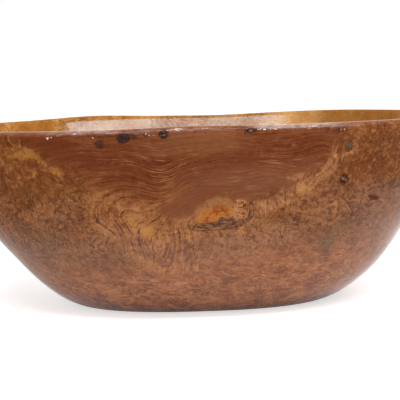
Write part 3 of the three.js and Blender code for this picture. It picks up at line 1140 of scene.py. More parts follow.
def burl_eyes_group():
    """The small round eyes of a burl with pale rims, crinkled lines, light flecks and curls of grain."""
    masks = ("Eyes", "Rims", "Crinkles", "Flecks", "Curls")
    board, given = new_group("Burl eyes", ("Eyes per metre",), masks)
    place, density = given["Place"], given["Eyes per metre"]
    away = board.cells(place, density)
    gathered = board.ease(board.noise(place, density * 0.35), 0.42, 0.54)
    eyes = board.ease(away, 0.33, 0.16) * gathered
    rims = board.ease(away, 0.60, 0.42) * board.ease(away, 0.24, 0.36) * gathered
    off_ridge = abs(board.stray(place, density * 0.70, 2.0, 0.55, 1.6))
    patchy = board.ease(board.noise(place, density * 0.30, 1.5), 0.42, 0.58)
    crinkles = board.ease(off_ridge, 0.060, 0.014) * (patchy * 0.75 + 0.25)
    flecks = board.ease(board.noise(place, density * 1.3, 2.0, 0.6, 0.6), 0.54, 0.66)
    contour = board.noise(place, density * 0.22, 1.0, 0.4, 0.8)
    curls = board.ease(board.maths("PINGPONG", contour * 12.0, 0.5), 0.08, 0.42)
    board.node("NodeGroupOutput", zip(masks, (eyes, rims, crinkles, flecks, curls)))
    return board.tree


def lacquer_group():
    """The unevenness of a brushed lacquer: a little clouding of its gloss, and the grain felt through it."""
    board, given = new_group("Lacquer", ("Roughness", "Clouding"), ("Roughness", "Cover", "Grain"))
    cloud = board.noise(given["Place"], 28.0, 3.0, 0.6)
    board.node("NodeGroupOutput", {
        "Roughness": given["Roughness"] + given["Clouding"] * (cloud - 0.5),
        "Cover": board.ease(cloud, 0.2, 0.6, 0.8, 1.0),
        "Grain": board.noise(given["Place"], 700.0, 3.0, 0.6),
    })
    return board.tree


def lacquer_over(board, colour, roughness, cover, height):
    """Ends a material: the wood's colour and relief under a clear coat of lacquer."""
    inputs = {"Height": height, "Strength": BUMP_STRENGTH, "Distance": BUMP_HEIGHT}
    shader = board.wire("ShaderNodeBsdfPrincipled", {
        "Base Color": colour,
        "Roughness": roughness,
        "IOR": UNDER_IOR,
        "Specular IOR Level": UNDER_GLOSS,
        "Coat Weight": cover,
        "Coat IOR": COAT_IOR,
        "Coat Roughness": COAT_ROUGHNESS,
        "Normal": board.wire("ShaderNodeBump", inputs, "Normal"),
    })
    board.node("ShaderNodeOutputMaterial", {"Surface": shader})


class BurlWood:
    """The bowl's wood, laid layer by layer. Each layer takes the colour so far and returns the new one.

    Places are in metres, and the drawn fields in millimetres.
    """

    def __init__(self, board, colours, groups):
        self.board = board
        self.colours = colours
        self.groups = groups
        self.place = board.place()
        self.across, self.deep, self.up = board.parts(self.place)
        self.field = {name: board.attribute(name) for name in FIELDS}
        self.front, self.outside = self.field["front"], self.field["outside"]
        inputs = {"Place": self.place, "Eyes per metre": EYES_PER_METRE}
        self.figure = board.group(groups["Burl eyes"], inputs)
        self.mid = board.noise(self.place, 46.0, 3.0, 0.6, 0.5)
        self.fine = board.noise(self.place, 280.0, 3.0, 0.65, 0.8)
        self.patchy = board.noise(self.place, 75.0)
        self.strength = board.ease(self.patchy, 0.38, 0.56, 0.2, 1.0)

    def ragged_mask(self, distance, softness, raggedness, grain):
        """A mask with a ragged edge, from the distance to an outline."""
        names = ("Place", "Distance", "Softness", "Raggedness", "Grain")
        inputs = zip(names, (self.place, distance, softness, raggedness, grain))
        return self.board.group(self.groups["Ragged edge"], inputs)["Mask"]

    def zone(self, name, softness, raggedness, grain):
        """The ragged mask of a drawn zone."""
        return self.ragged_mask(self.field[name], softness, raggedness, grain)

    def draw_rings(self):
        """Growth rings and streaks, drawn on the front and drifting freely elsewhere."""
        board, place = self.board, self.place
        self.drift = board.noise(place, 9.0, 1.5, 0.5, 0.5)
        rings = board.blend(self.front, self.drift * 36.0, self.field["rings"])
        pitch = board.blend(self.front, 5.0, self.field["ring_pitch"])
        self.waver = board.stray(place, 150.0, 4.0, 0.7)
        self.wander = board.stray(place, 62.0)
        stray = self.waver * 4.0 + self.wander * 6.0
        off_ring = board.maths("PINGPONG", rings + stray / pitch, 0.5) * pitch
        thickness = board.ease(board.noise(place, 90.0), 0.38, 0.64, 0.28, 0.70)
        self.ring_line = board.ease(off_ring / thickness, 1.0, 0.3) * self.strength
        streak_place = board.vector(rings * 3.6, self.across * 30.0, self.deep * 30.0)
        self.streaks = board.noise(streak_place, 1.0, 4.0, 0.68)
        self.fine_streaks = board.noise(streak_place, 2.4, 3.0, 0.6)

    def lay_ground(self):
        """The mottled ground of the burl, with lumps of gold high on the left end."""
        board, place, up, colours = self.board, self.place, self.up, self.colours
        curls = (self.figure["Curls"] - 0.5) * board.ease(self.patchy, 0.42, 0.62, 0.04, 0.17)
        mottle = self.mid * 0.30 + self.fine * 0.50 + curls + 0.108
        lump = board.noise(place, 100.0, 2.0, 0.5, 1.2)
        self.lumpy = board.ease(up, 0.085, 0.105) * board.ease(self.across, -0.060, -0.090) * self.outside
        lumps_in_gold = self.mid * 0.20 + lump * 0.66 + self.fine * 0.14 + 0.012
        self.mottle = board.blend(self.lumpy, mottle, lumps_in_gold)
        lump_line = board.ease(abs(lump - 0.46), 0.018, 0.006)
        self.lump_line = lump_line * self.strength * (self.lumpy * 0.45 + 0.2)
        ground = board.ramp(
            self.mottle,
            (0.38, colours.burl_shade), (0.46, colours.burl_brown),
            (0.54, colours.burl_tan), (0.63, colours.burl_gold),
        )
        high = board.ease(up, 0.080, 0.105) * board.ease(self.fine, 0.60, 0.44, 0.2, 1.0)
        return board.tint(high * 0.7, ground, colours.burl_red)

    def lay_foot_ground(self, ground):
        """The flatter figure near the foot."""
        board, mid, colours = self.board, self.mid, self.colours
        place = board.vector(self.across * 0.42, self.deep * 0.5, self.up)
        inputs = {"Place": place, "Eyes per metre": FOOT_EYES_PER_METRE}
        figure = board.group(self.groups["Burl eyes"], inputs)
        fine = board.noise(place, 300.0, 3.0, 0.6, 1.0)
        low = board.ramp(
            fine * 0.60 + mid * 0.30 + figure["Curls"] * 0.08,
            (0.40, colours.foot_shade), (0.49, colours.foot_brown), (0.61, colours.foot_tan),
        )
        low = board.tint(figure["Crinkles"] * 0.8, low, colours.foot_line)
        low = board.tint(figure["Flecks"] * board.ease(mid, 0.42, 0.56, 0.2, 0.7), low, colours.foot_tan)
        height = self.up + self.across * -0.10 + (mid - 0.5) * 0.03
        return board.tint(board.ease(height, 0.062, 0.028) * self.outside, ground, low)

    def lay_inner_skin(self, colour, ground):
        """Golden clouds over the burl inside the bowl, with a painted reflection of the glare on the far
        wall.
        """
        board, across, deep, up, colours = self.board, self.across, self.deep, self.up, self.colours
        self.clouds = clouds = board.noise(board.vector(across, deep * 0.6, up * 0.5), 58.0, 2.0, 0.6)
        inner = board.ramp(
            clouds * 0.50 + self.mottle * 0.50,
            (0.37, colours.inner_brown), (0.48, colours.inner_gold), (0.60, colours.inner_cream),
        )
        right_end = board.ease(across + (clouds - 0.5) * 0.10, 0.070, 0.125, 0.0, 0.7)
        inner = board.tint(right_end * board.ease(up, 0.090, 0.120), inner, colours.inner_brown)
        # Painted reflection: a milky grey laid into the colour where the far wall shows the lamps' glare.
        glare_mask = board.ease(across, -0.126, -0.106) * board.ease(across, 0.085, 0.035)
        glare_mask = glare_mask * board.ease(deep, 0.05, 0.08) * board.ease(up, *BELOW_FAR_EDGE)
        glare_mask = glare_mask * board.ease(up, 0.108, 0.121) * board.ease(clouds, 0.36, 0.52, 0.2, 0.5)
        inner = board.tint(glare_mask, inner, colours.painted_glare)
        inner = board.tint(board.ease(up, 0.120, 0.085, 0.0, 0.6), inner, ground)
        cream = board.ease(across, 0.060, 0.078) * board.ease(across, 0.112, 0.096)
        cream = cream * board.ease(deep, 0.08, 0.10) * board.ease(up, 0.100, 0.120)
        inner = board.tint(cream * board.ease(clouds, 0.36, 0.52, 0.4, 0.9), inner, colours.inner_cream)
        return board.tint(self.outside, inner, colour)

    def dot_with_eyes(self, colour):
        """Light flecks, pale rims, crinkles, eyes and the thin lines round the lumps."""
        board, colours = self.board, self.colours
        wild = board.ease(board.noise(self.place, 15.0), 0.44, 0.58)
        speckle = board.blend(self.front, wild, board.maths("MINIMUM", self.field["speckle"], 1.0))
        speckle = speckle * 0.70 + board.ease(self.up, 0.030, 0.070, 0.25, 0.40)
        self.speckle = speckle * board.blend(self.outside, 0.6, 1.0) * board.blend(self.lumpy, 1.0, 0.5)
        kinds = (
            ("Flecks", 0.6, colours.burl_gold),
            ("Rims", 0.5, colours.burl_tan),
            ("Crinkles", 0.7, colours.burl_line),
            ("Eyes", 0.7, colours.eye_brown),
        )
        for name, strength, paint_colour in kinds:
            colour = board.tint(self.figure[name] * self.speckle * strength, colour, paint_colour)
        return board.tint(self.lump_line * self.outside, colour, colours.burl_line)

    def lay_swirl(self, colour):
        """Tan wood between thin dark rings, with patches of gold and of purple."""
        board, fine, streaks, colours = self.board, self.fine, self.streaks, self.colours
        gold, purple = self.field["gold"], self.field["purple"]
        wild_swirl = board.ease(board.noise(self.place, 12.0, 1.0), 0.54, 0.62) * board.less(self.front)
        swirl = board.maths("MAXIMUM", self.zone("swirl", 4.0, 9.0, 90.0), wild_swirl)
        ground = board.ramp(
            self.fine_streaks * 0.3 + streaks * 0.15 + fine * 0.35 + self.mid * 0.20,
            (0.425, colours.swirl_shade), (0.485, colours.swirl_tan), (0.575, colours.swirl_gold),
        )
        colour = board.tint(swirl * 0.8, colour, ground)
        self.ragged = (fine - 0.5) * 1.6 + (streaks - 0.5) * 1.2
        gilded = board.ease(gold + self.ragged, 0.30, 0.90) * board.ease(gold, 0.05, 0.4)
        gilded = gilded * board.less(self.figure["Crinkles"] * 0.9)
        self.gilded = gilded * board.ease(self.up, 0.100, 0.112, 0.75, 0.5)
        colour = board.tint(self.gilded, colour, colours.bright_gold)
        stained = board.ease(purple + self.ragged, 0.25, 0.75) * board.ease(purple, 0.05, 0.4)
        colour = board.tint(stained * 0.6, colour, colours.purple_stain)
        self.ring_line = self.ring_line * swirl * board.ease(self.up, 0.036, 0.052, 0.35, 1.0)
        return board.tint(self.ring_line * 0.9, colour, colours.ring_line)

    def lay_dark_band(self, colour):
        """The dark band under the lip, with light streaks that follow the rings."""
        board, across, up, streaks, colours = self.board, self.across, self.up, self.streaks, self.colours
        drop = (up - 0.098) * 1000.0 + (self.drift - 0.5) * 90.0
        distance = board.blend(self.front, drop, self.field["dark_band"])
        band = self.ragged_mask(distance, 6.0, 30.0, 70.0) * self.outside
        ground = board.ramp(
            streaks * 0.65 + self.fine * 0.35,
            (0.37, colours.band_shade), (0.48, colours.band_brown), (0.60, colours.band_red),
        )
        pinker = board.ease(up, 0.119, 0.100) * board.ease(across, -0.035, 0.025) * self.front
        ground = board.tint(pinker * 0.7, ground, colours.band_pink)
        lighter = board.ease(up, 0.114, 0.124) * board.ease(across, -0.050, -0.010)
        lighter = lighter * board.ease(across, 0.040, 0.015) * self.front
        ground = board.tint(lighter * 0.25, ground, colours.band_streak)
        fringe = board.ease(self.field["dark_band"], 15.0, 1.0) * self.front * board.ease(streaks, 0.44, 0.60)
        ground = board.tint(fringe * 0.4, ground, colours.swirl_tan)
        streak = board.ease(self.fine_streaks, 0.55, 0.63) * board.ease(self.mid, 0.42, 0.56, 0.1, 1.0)
        ground = board.tint(streak * board.ease(up, 0.128, 0.112, 0.35, 0.8), ground, colours.band_streak)
        ground = board.tint(self.gilded * 0.7, ground, colours.bright_gold)
        return board.tint(band, colour, ground)

    def lay_tongue(self, colour):
        """The plain red-brown tongue over the swirl, and the maroon patch under the lip."""
        board, colours = self.board, self.colours
        ground = board.tint(board.ease(self.streaks, 0.4, 0.6), colours.tongue_red, colours.band_red)
        colour = board.tint(self.zone("tongue", 3.0, 6.0, 140.0) * 0.9, colour, ground)
        return board.tint(self.zone("red_patch", 5.0, 22.0, 80.0) * 0.7, colour, colours.red_patch)

    def lay_ribbon(self, colour):
        """The ribbon of light wood: curled across its length low down, and streaked along it higher up."""
        board, mid, colours = self.board, self.mid, self.colours
        along, aside = self.field["ribbon_along"], self.field["ribbon_across"]
        curl_place = board.vector(along + aside * -0.35, aside * 0.22, mid * 2.0)
        cross_curls = board.noise(curl_place, 0.42, 3.0, 0.6, 1.5)
        long_streaks = board.noise(board.vector(along * 0.07, aside * 0.30, mid), 1.0, 3.0, 0.6, 1.0)
        grain = board.blend(board.ease(along, 56.0, 44.0, 0.15, 0.7), long_streaks, cross_curls)
        ground = board.ramp(
            grain * 0.7 + self.mottle * 0.3,
            (0.41, colours.ribbon_shade), (0.48, colours.ribbon_tan), (0.59, colours.ribbon_gold),
        )
        ground = board.tint(self.figure["Crinkles"] * 0.6, ground, colours.ribbon_shade)
        blob = board.ease(self.field["gold"] + self.ragged * 0.4, 0.5, 0.9)
        ground = board.tint(blob * 0.8, ground, colours.ribbon_gold)
        ribbon = self.zone("ribbon", 1.8, 9.0, 120.0) * board.ease(self.up, 0.124, 0.116, 0.35, 1.0)
        return board.tint(ribbon * 0.85, colour, ground)

    def lay_heart(self, colour):
        """The orange heart of the burl with its dark embers, and its dotted end."""
        board, fine, colours = self.board, self.fine, self.colours
        self.heart = self.zone("heart", 1.4, 4.0, 200.0)
        orange = self.zone("heart_orange", 4.0, 12.0, 110.0)
        ground = board.tint(orange, colours.heart_tan, colours.heart_orange)
        embers = self.wander * 0.6 + fine * 0.5 + board.ease(self.across, 0.016, 0.006, -0.06, 0.05)
        embers = board.ease(embers, 0.26, 0.16, 0.0, 0.85) * orange
        ground = board.tint(embers, ground, colours.heart_ember)
        ground = board.tint(board.ease(fine, 0.45, 0.36, 0.0, 0.5), ground, colours.ribbon_shade)
        ground = board.tint(board.ease(fine, 0.54, 0.66, 0.0, 0.6), ground, colours.bright_gold)
        colour = board.tint(self.heart, colour, ground)
        self.dotted = board.ease(self.field["heart_speckle"], -0.5, 1.5)
        upright = board.vector(self.across, self.deep, self.up * 0.45)
        dots = board.ramp(
            board.noise(upright, 640.0, 2.0, 0.6, 1.0),
            (0.38, colours.red_patch), (0.46, colours.ribbon_tan), (0.62, colours.ribbon_gold),
        )
        return board.tint(self.dotted * 0.9, colour, dots)

    def add_marks(self, colour):
        """Pale and misty patches, dark spots, hairline cracks, knot stain, and painted shade under the lip
        and at the left end.
        """
        board, field, fine, colours = self.board, self.field, self.fine, self.colours
        pale = field["pale"] * board.ease(fine, 0.36, 0.60, 0.1, 0.6)
        pale = pale * board.less(self.heart) * board.less(self.dotted)
        colour = board.tint(pale, colour, colours.pale_wood)
        colour = board.tint(field["mist"] * 0.6, colour, colours.mist_green)
        # Dark spots, one of them painted shade near the left end.
        spots = field["dark_spots_and_shade"] * board.ease(fine, 0.62, 0.4)
        colour = board.tint(spots * 0.7, colour, colours.burl_shade)
        off_crack = abs(field["crack"] + self.waver * 3.6)
        self.crack = board.ease(off_crack, 0.55, 0.1) * field["crack_near"] * self.strength
        colour = board.tint(self.crack * 0.6, colour, colours.crack)
        # The knots' stain and the painted shade under the lip share one mask and one colour.
        stain = board.maths("MAXIMUM", field["stain"], field["lip_shade"])
        torn = stain + board.stray(self.place, 260.0, 3.0, 0.65) * 3.0
        stained = board.ease(torn, 0.45, 1.0) * board.ease(stain, 0.05, 0.3)
        return board.tint(stained * 0.75, colour, colours.knot_stain)

    def lip_marks_and_highlights(self, colour):
        """Painted highlights on the lip: a greyish broad sheen, a pale line along its top and white glints,
        with small dark marks.
        """
        board, field, across, colours = self.board, self.field, self.across, self.colours
        self.lip = board.ease(field["lip"], 0.25, 0.65)
        # Painted highlight: a broad greyish sheen on the lip, laid into the colour.
        lip_sheen = self.lip * board.ease(board.noise(self.place, 42.0, 3.0, 0.65), 0.42, 0.58, 0.15, 0.6)
        lip_sheen = lip_sheen * self.outside * board.ease(across, -0.115, -0.070, 0.3, 1.0)
        lip_sheen = lip_sheen * board.ease(across, 0.130, 0.095, 0.3, 1.0)
        colour = board.tint(lip_sheen, colour, colours.painted_lip_sheen)
        # Painted highlight: a pale thin line along the lip's top, on both sides of the middle.
        from_middle = abs(across + 0.008)
        highlight_line = board.ease(from_middle, 0.038, 0.052) * board.ease(from_middle, 0.110, 0.080)
        highlight_line = highlight_line * board.ease(field["lip"], 0.45, 0.85) * board.ease(across, -0.03, 0.03, 0.12, 0.25)
        colour = board.tint(highlight_line, colour, colours.glint_white)
        middle = board.ease(across, -0.105, -0.075) * board.ease(across, 0.110, 0.080)
        middle = middle * self.lip * self.outside
        # Small dark marks along the lip, and light ones that are painted glints.
        marks = board.noise(board.vector(across, self.deep, self.up * 3.0), 160.0, 3.0, 0.65)
        for low, high, mark_colour in ((0.50, 0.58, colours.knot_stain), (0.40, 0.34, colours.glint_white)):
            colour = board.tint(board.ease(marks, low, high) * middle * 0.5, colour, mark_colour)
        # Painted glints: white specks at the listed places on the lip.
        glinted = board.ease(field["glints"] + board.stray(self.place, 430.0, 3.0, 0.7) * 3.0, 0.64, 0.86)
        return board.tint(glinted * board.ease(field["glints"], 0.05, 0.3), colour, colours.glint_white)

    def gloss(self, cover):
        """How far the lacquer covers: sunk in on the upper outside, blotched inside, and full on the lip."""
        board, across, deep, up, lip = self.board, self.across, self.deep, self.up, self.lip
        sheen = board.ease(across, 0.070, 0.120) * board.ease(up, 0.100, 0.082)
        sunk = board.ease(up, 0.045, 0.085) * self.outside * board.less(lip) * board.less(sheen * 0.6)
        left_glare = board.ease(across, -0.041, -0.035, 1.0, 0.45)
        far_wall = board.blend(board.ease(across, 0.030, 0.060), left_glare, 0.6)
        far_wall = far_wall * board.ease(across, 0.084, 0.066, 0.2, 1.0) * board.ease(across, -0.119, -0.112)
        far_wall = far_wall * board.ease(up, *BELOW_FAR_EDGE)
        inside_wall = board.blend(board.ease(deep, -0.06, 0.06), 0.6, far_wall)
        inside_wall = inside_wall * board.ease(self.clouds, 0.38, 0.56, 0.75, 1.0)
        sparkle = board.ease(board.noise(self.place, 190.0, 3.0, 0.7), 0.44, 0.60, 0.25, 1.0)
        kept = board.blend(self.outside, board.blend(lip, inside_wall, 1.0), board.blend(lip, 1.0, sparkle))
        shaded = board.ease(up, 0.0, 0.014, 0.3, 1.0) * board.ease(across, -0.125, -0.060, 0.68, 1.0)
        return cover * kept * board.blend(sunk, 1.0, SUNK_GLOSS) * board.blend(self.outside, 1.0, shaded)

    def relief(self, grain):
        """Grain and slow waves, into which the cracks, the rings and the eyes are sunk."""
        board = self.board
        wave = board.noise(self.place, 60.0) * board.blend(self.lip, 8.0, 30.0)
        eyes = self.figure["Eyes"] * self.speckle * 0.5 * self.outside
        sunk_lines = self.crack + self.ring_line * 0.4 + eyes
        return grain * board.blend(self.outside, 0.1, 0.4) + wave - sunk_lines


def lacquered_burl(colours, groups):
    """The bowl's wood with its whole figure, under a clear lacquer."""
    material, board = new_material("lacquered_burl")
    wood = BurlWood(board, colours, groups)
    wood.draw_rings()
    ground = wood.lay_ground()
    colour = wood.lay_inner_skin(wood.lay_foot_ground(ground), ground)
    layers = (
        wood.dot_with_eyes, wood.lay_swirl, wood.lay_dark_band, wood.lay_tongue,
        wood.lay_ribbon, wood.lay_heart, wood.add_marks, wood.lip_marks_and_highlights,
    )
    for lay in layers:
        colour = lay(colour)
    lacquer = board.group(groups["Lacquer"], {"Place": wood.place, "Roughness": 0.42, "Clouding": 0.12})
    cover, height = wood.gloss(lacquer["Cover"]), wood.relief(lacquer["Grain"])
    lacquer_over(board, colour, lacquer["Roughness"], cover, height)
    return material


class PlugWood:
    """The material of a plug, on a board of its own."""

    def __init__(self, name, groups):
        self.material, self.board = new_material(name)
        self.groups = groups
        self.place = self.board.place()

    def plane(self):
        """The place on the plug's own plane, and how far in from its outline, in millimetres."""
        return [self.board.attribute(name) for name in PLUG_FIELDS]

    def finish(self, colour, relief, roughness, clouding):
        """Lays the lacquer over, which has sunk into the end grain."""
        inputs = {"Place": self.place, "Roughness": roughness, "Clouding": clouding}
        lacquer = self.board.group(self.groups["Lacquer"], inputs)
        height = relief + lacquer["Grain"] * 0.5
        lacquer_over(self.board, colour, lacquer["Roughness"], lacquer["Cover"] * SUNK_GLOSS, height)
        return self.material


def encased_bark(colours, groups):
    """Near-black bark at the lip."""
    plug = PlugWood("encased_bark", groups)
    board, place = plug.board, plug.place
    grain = board.noise(place, 520.0, 4.0, 0.65, 0.6)
    colour = board.ramp(
        grain,
        (0.36, colours.bark_black), (0.5, colours.bark_brown),
        (0.6, colours.bark_green), (0.74, colours.bark_fleck),
    )
    flecks = board.ease(board.noise(place, 420.0, 3.0, 0.6), 0.48, 0.58) * board.attribute("knot_flecked")
    colour = board.tint(flecks * 0.7, colour, colours.bark_fleck)
    ragged = board.attribute("knot_edge") + (grain - 0.5) * 6.0
    colour = board.tint(board.ease(ragged, 1.0, 0.2) * 0.8, colour, colours.knot_stain)
    return plug.finish(colour, grain, 0.5, 0.2)


def seam_bark(colours, groups):
    """The seam by the heart: purple-grey bark with green streaks and flecks of tan wood."""
    plug = PlugWood("seam_bark", groups)
    board, place = plug.board, plug.place
    across, up, edge = plug.plane()
    layer = board.noise(board.vector(across * 0.14, up * 0.6, 0.0), 1.0, 4.0, 0.7, 0.8)
    colour = board.ramp(
        layer * 0.65 + board.noise(place, 600.0, 3.0, 0.6) * 0.35,
        (0.41, colours.seam_dark), (0.47, colours.seam_purple),
        (0.53, colours.seam_green), (0.61, colours.ribbon_tan),
    )
    ragged = edge + board.stray(place, 240.0, 3.0, 0.65) * 10.0
    patchy = board.ease(board.noise(place, 180.0), 0.42, 0.58)
    rim_colour = board.tint(patchy, colours.seam_edge, colours.ribbon_tan)
    colour = board.tint(board.ease(ragged, 1.6, 0.5) * 0.9, colour, rim_colour)
    eyes = board.group(groups["Burl eyes"], {"Place": place, "Eyes per metre": SEAM_EYES_PER_METRE})
    colour = board.tint(eyes["Eyes"] * 0.4, colour, colours.seam_dark)
    return plug.finish(colour, layer, 0.45, 0.2)


def dark_knot(colours, groups):
    """Dark red-brown knot wood with paler cracks."""
    plug = PlugWood("dark_knot", groups)
    board, place = plug.board, plug.place
    across, up, edge = plug.plane()
    turn = board.noise(board.vector(board.reach(across, up) * 1.6, across * 0.3, up * 0.3), 1.0, 3.0)
    fine = board.noise(place, 620.0, 3.0, 0.6)
    colour = board.ramp(
        turn * 0.6 + fine * 0.4,
        (0.44, colours.knot_dark), (0.58, colours.knot_red), (0.76, colours.knot_pale),
    )
    colour = board.tint(board.attribute("knot_reddened") * 0.6, colour, colours.knot_red)
    split = up + across * 0.35 + (turn - 0.5) * 2.4 - 0.3
    cracked = board.attribute("knot_split") * board.ease(abs(split), 1.3, 0.5)
    cracked_colour = board.tint(board.ease(fine, 0.45, 0.55), colours.knot_grey, colours.knot_pale)
    colour = board.tint(cracked * 0.85, colour, cracked_colour)
    ragged = edge + board.stray(place, 300.0, 3.0, 0.65) * 4.0
    colour = board.tint(board.ease(ragged, 1.0, 0.1) * 0.8, colour, colours.burl_brown)
    return plug.finish(colour, turn, 0.4, 0.15)


def grey_knot(colours, groups):
    """Greenish-grey knot with rings round a dark pith."""
    plug = PlugWood("grey_knot", groups)
    board = plug.board
    across, up, edge = plug.plane()
    reach = board.reach(across * 1.5, up)
    fine = board.noise(plug.place, 300.0, 3.0, 0.6)
    rings = board.maths("SINE", reach * 3.4 + fine * 9.0)
    colour = board.ramp(
        rings * 0.08 + fine,
        (0.42, colours.knot_dark), (0.48, colours.burl_shade),
        (0.54, colours.mist_green), (0.62, colours.knot_grey),
    )
    colour = board.tint(board.ease(reach, 1.1, 0.4) * 0.6, colour, colours.knot_dark)
    ragged = edge + (fine - 0.5) * 8.0
    colour = board.tint(board.ease(ragged, 2.2, 0.6) * 0.9, colour, colours.burl_brown)
    return plug.finish(colour, rings * 0.4, 0.45, 0.15)


def seen_directly(board):
    """1 for rays from the camera or sent on by a gloss or a clear surface, and 0 for plain light."""
    path = board.wires("ShaderNodeLightPath")
    sent_on = board.maths("MAXIMUM", path["Is Glossy Ray"], path["Is Transmission Ray"])
    return board.maths("MAXIMUM", path["Is Camera Ray"], sent_on)


def studio_floor():
    """A white floor that keeps the bowl's shadow."""
    material, board = new_material("studio_floor")
    tones = board.tint(board.noise(board.place(), 40.0), *FLOOR_TONES)
    matt = board.wire("ShaderNodeBsdfDiffuse", {"Color": tones})
    glow = board.wire("ShaderNodeEmission", {"Color": WHITE, "Strength": seen_directly(board) * FLOOR_GLOW})
    both = board.wire("ShaderNodeAddShader", {0: matt, 1: glow})
    board.node("ShaderNodeOutputMaterial", {"Surface": both})
    return material


def studio_world():
    """A plain even light, seen as white by the camera and in reflections."""
    world = bpy.data.worlds.new("studio")
    bpy.context.scene.world = world
    board = fresh_board(world)
    strength = board.blend(seen_directly(board), WORLD_LIGHT, 1.0)
    backdrop = board.wire("ShaderNodeBackground", {"Color": WHITE, "Strength": strength})
    board.node("ShaderNodeOutputWorld", {"Surface": backdrop})


# Sizes and colours that a user may change


def length(label, description, default):
    return FloatProperty(
        name=label, description=description, default=default, min=MILLIMETRE,
        subtype="DISTANCE", unit="LENGTH",
    )


def paint(label, description, red, green, blue):
    return FloatVectorProperty(
        name=label, description=description, default=opaque(tone(red, green, blue)), size=4, min=0, max=1,
        subtype="COLOR",
    )


class BowlSizes(PropertyGroup):
    """Sizes of the bowl."""

    rim_length: length("Rim length", "Over the outside of the lip, along the bowl", 0.400)
    rim_width: length("Rim width", "Over the outside of the lip, across the bowl", 0.310)
    rim_height: length("Rim height", "From the foot to the top of the lip, without its waves", 0.136)
    foot_length: length("Foot length", "Length of the flat oval foot", 0.176)
    foot_width: length("Foot width", "Width of the flat oval foot", 0.126)
    lip_thickness: length("Lip thickness", "Thickness of the wall at its round lip", 0.0085)
    floor_thickness: length("Floor thickness", "Thickness of the wall where it meets the floor", 0.014)


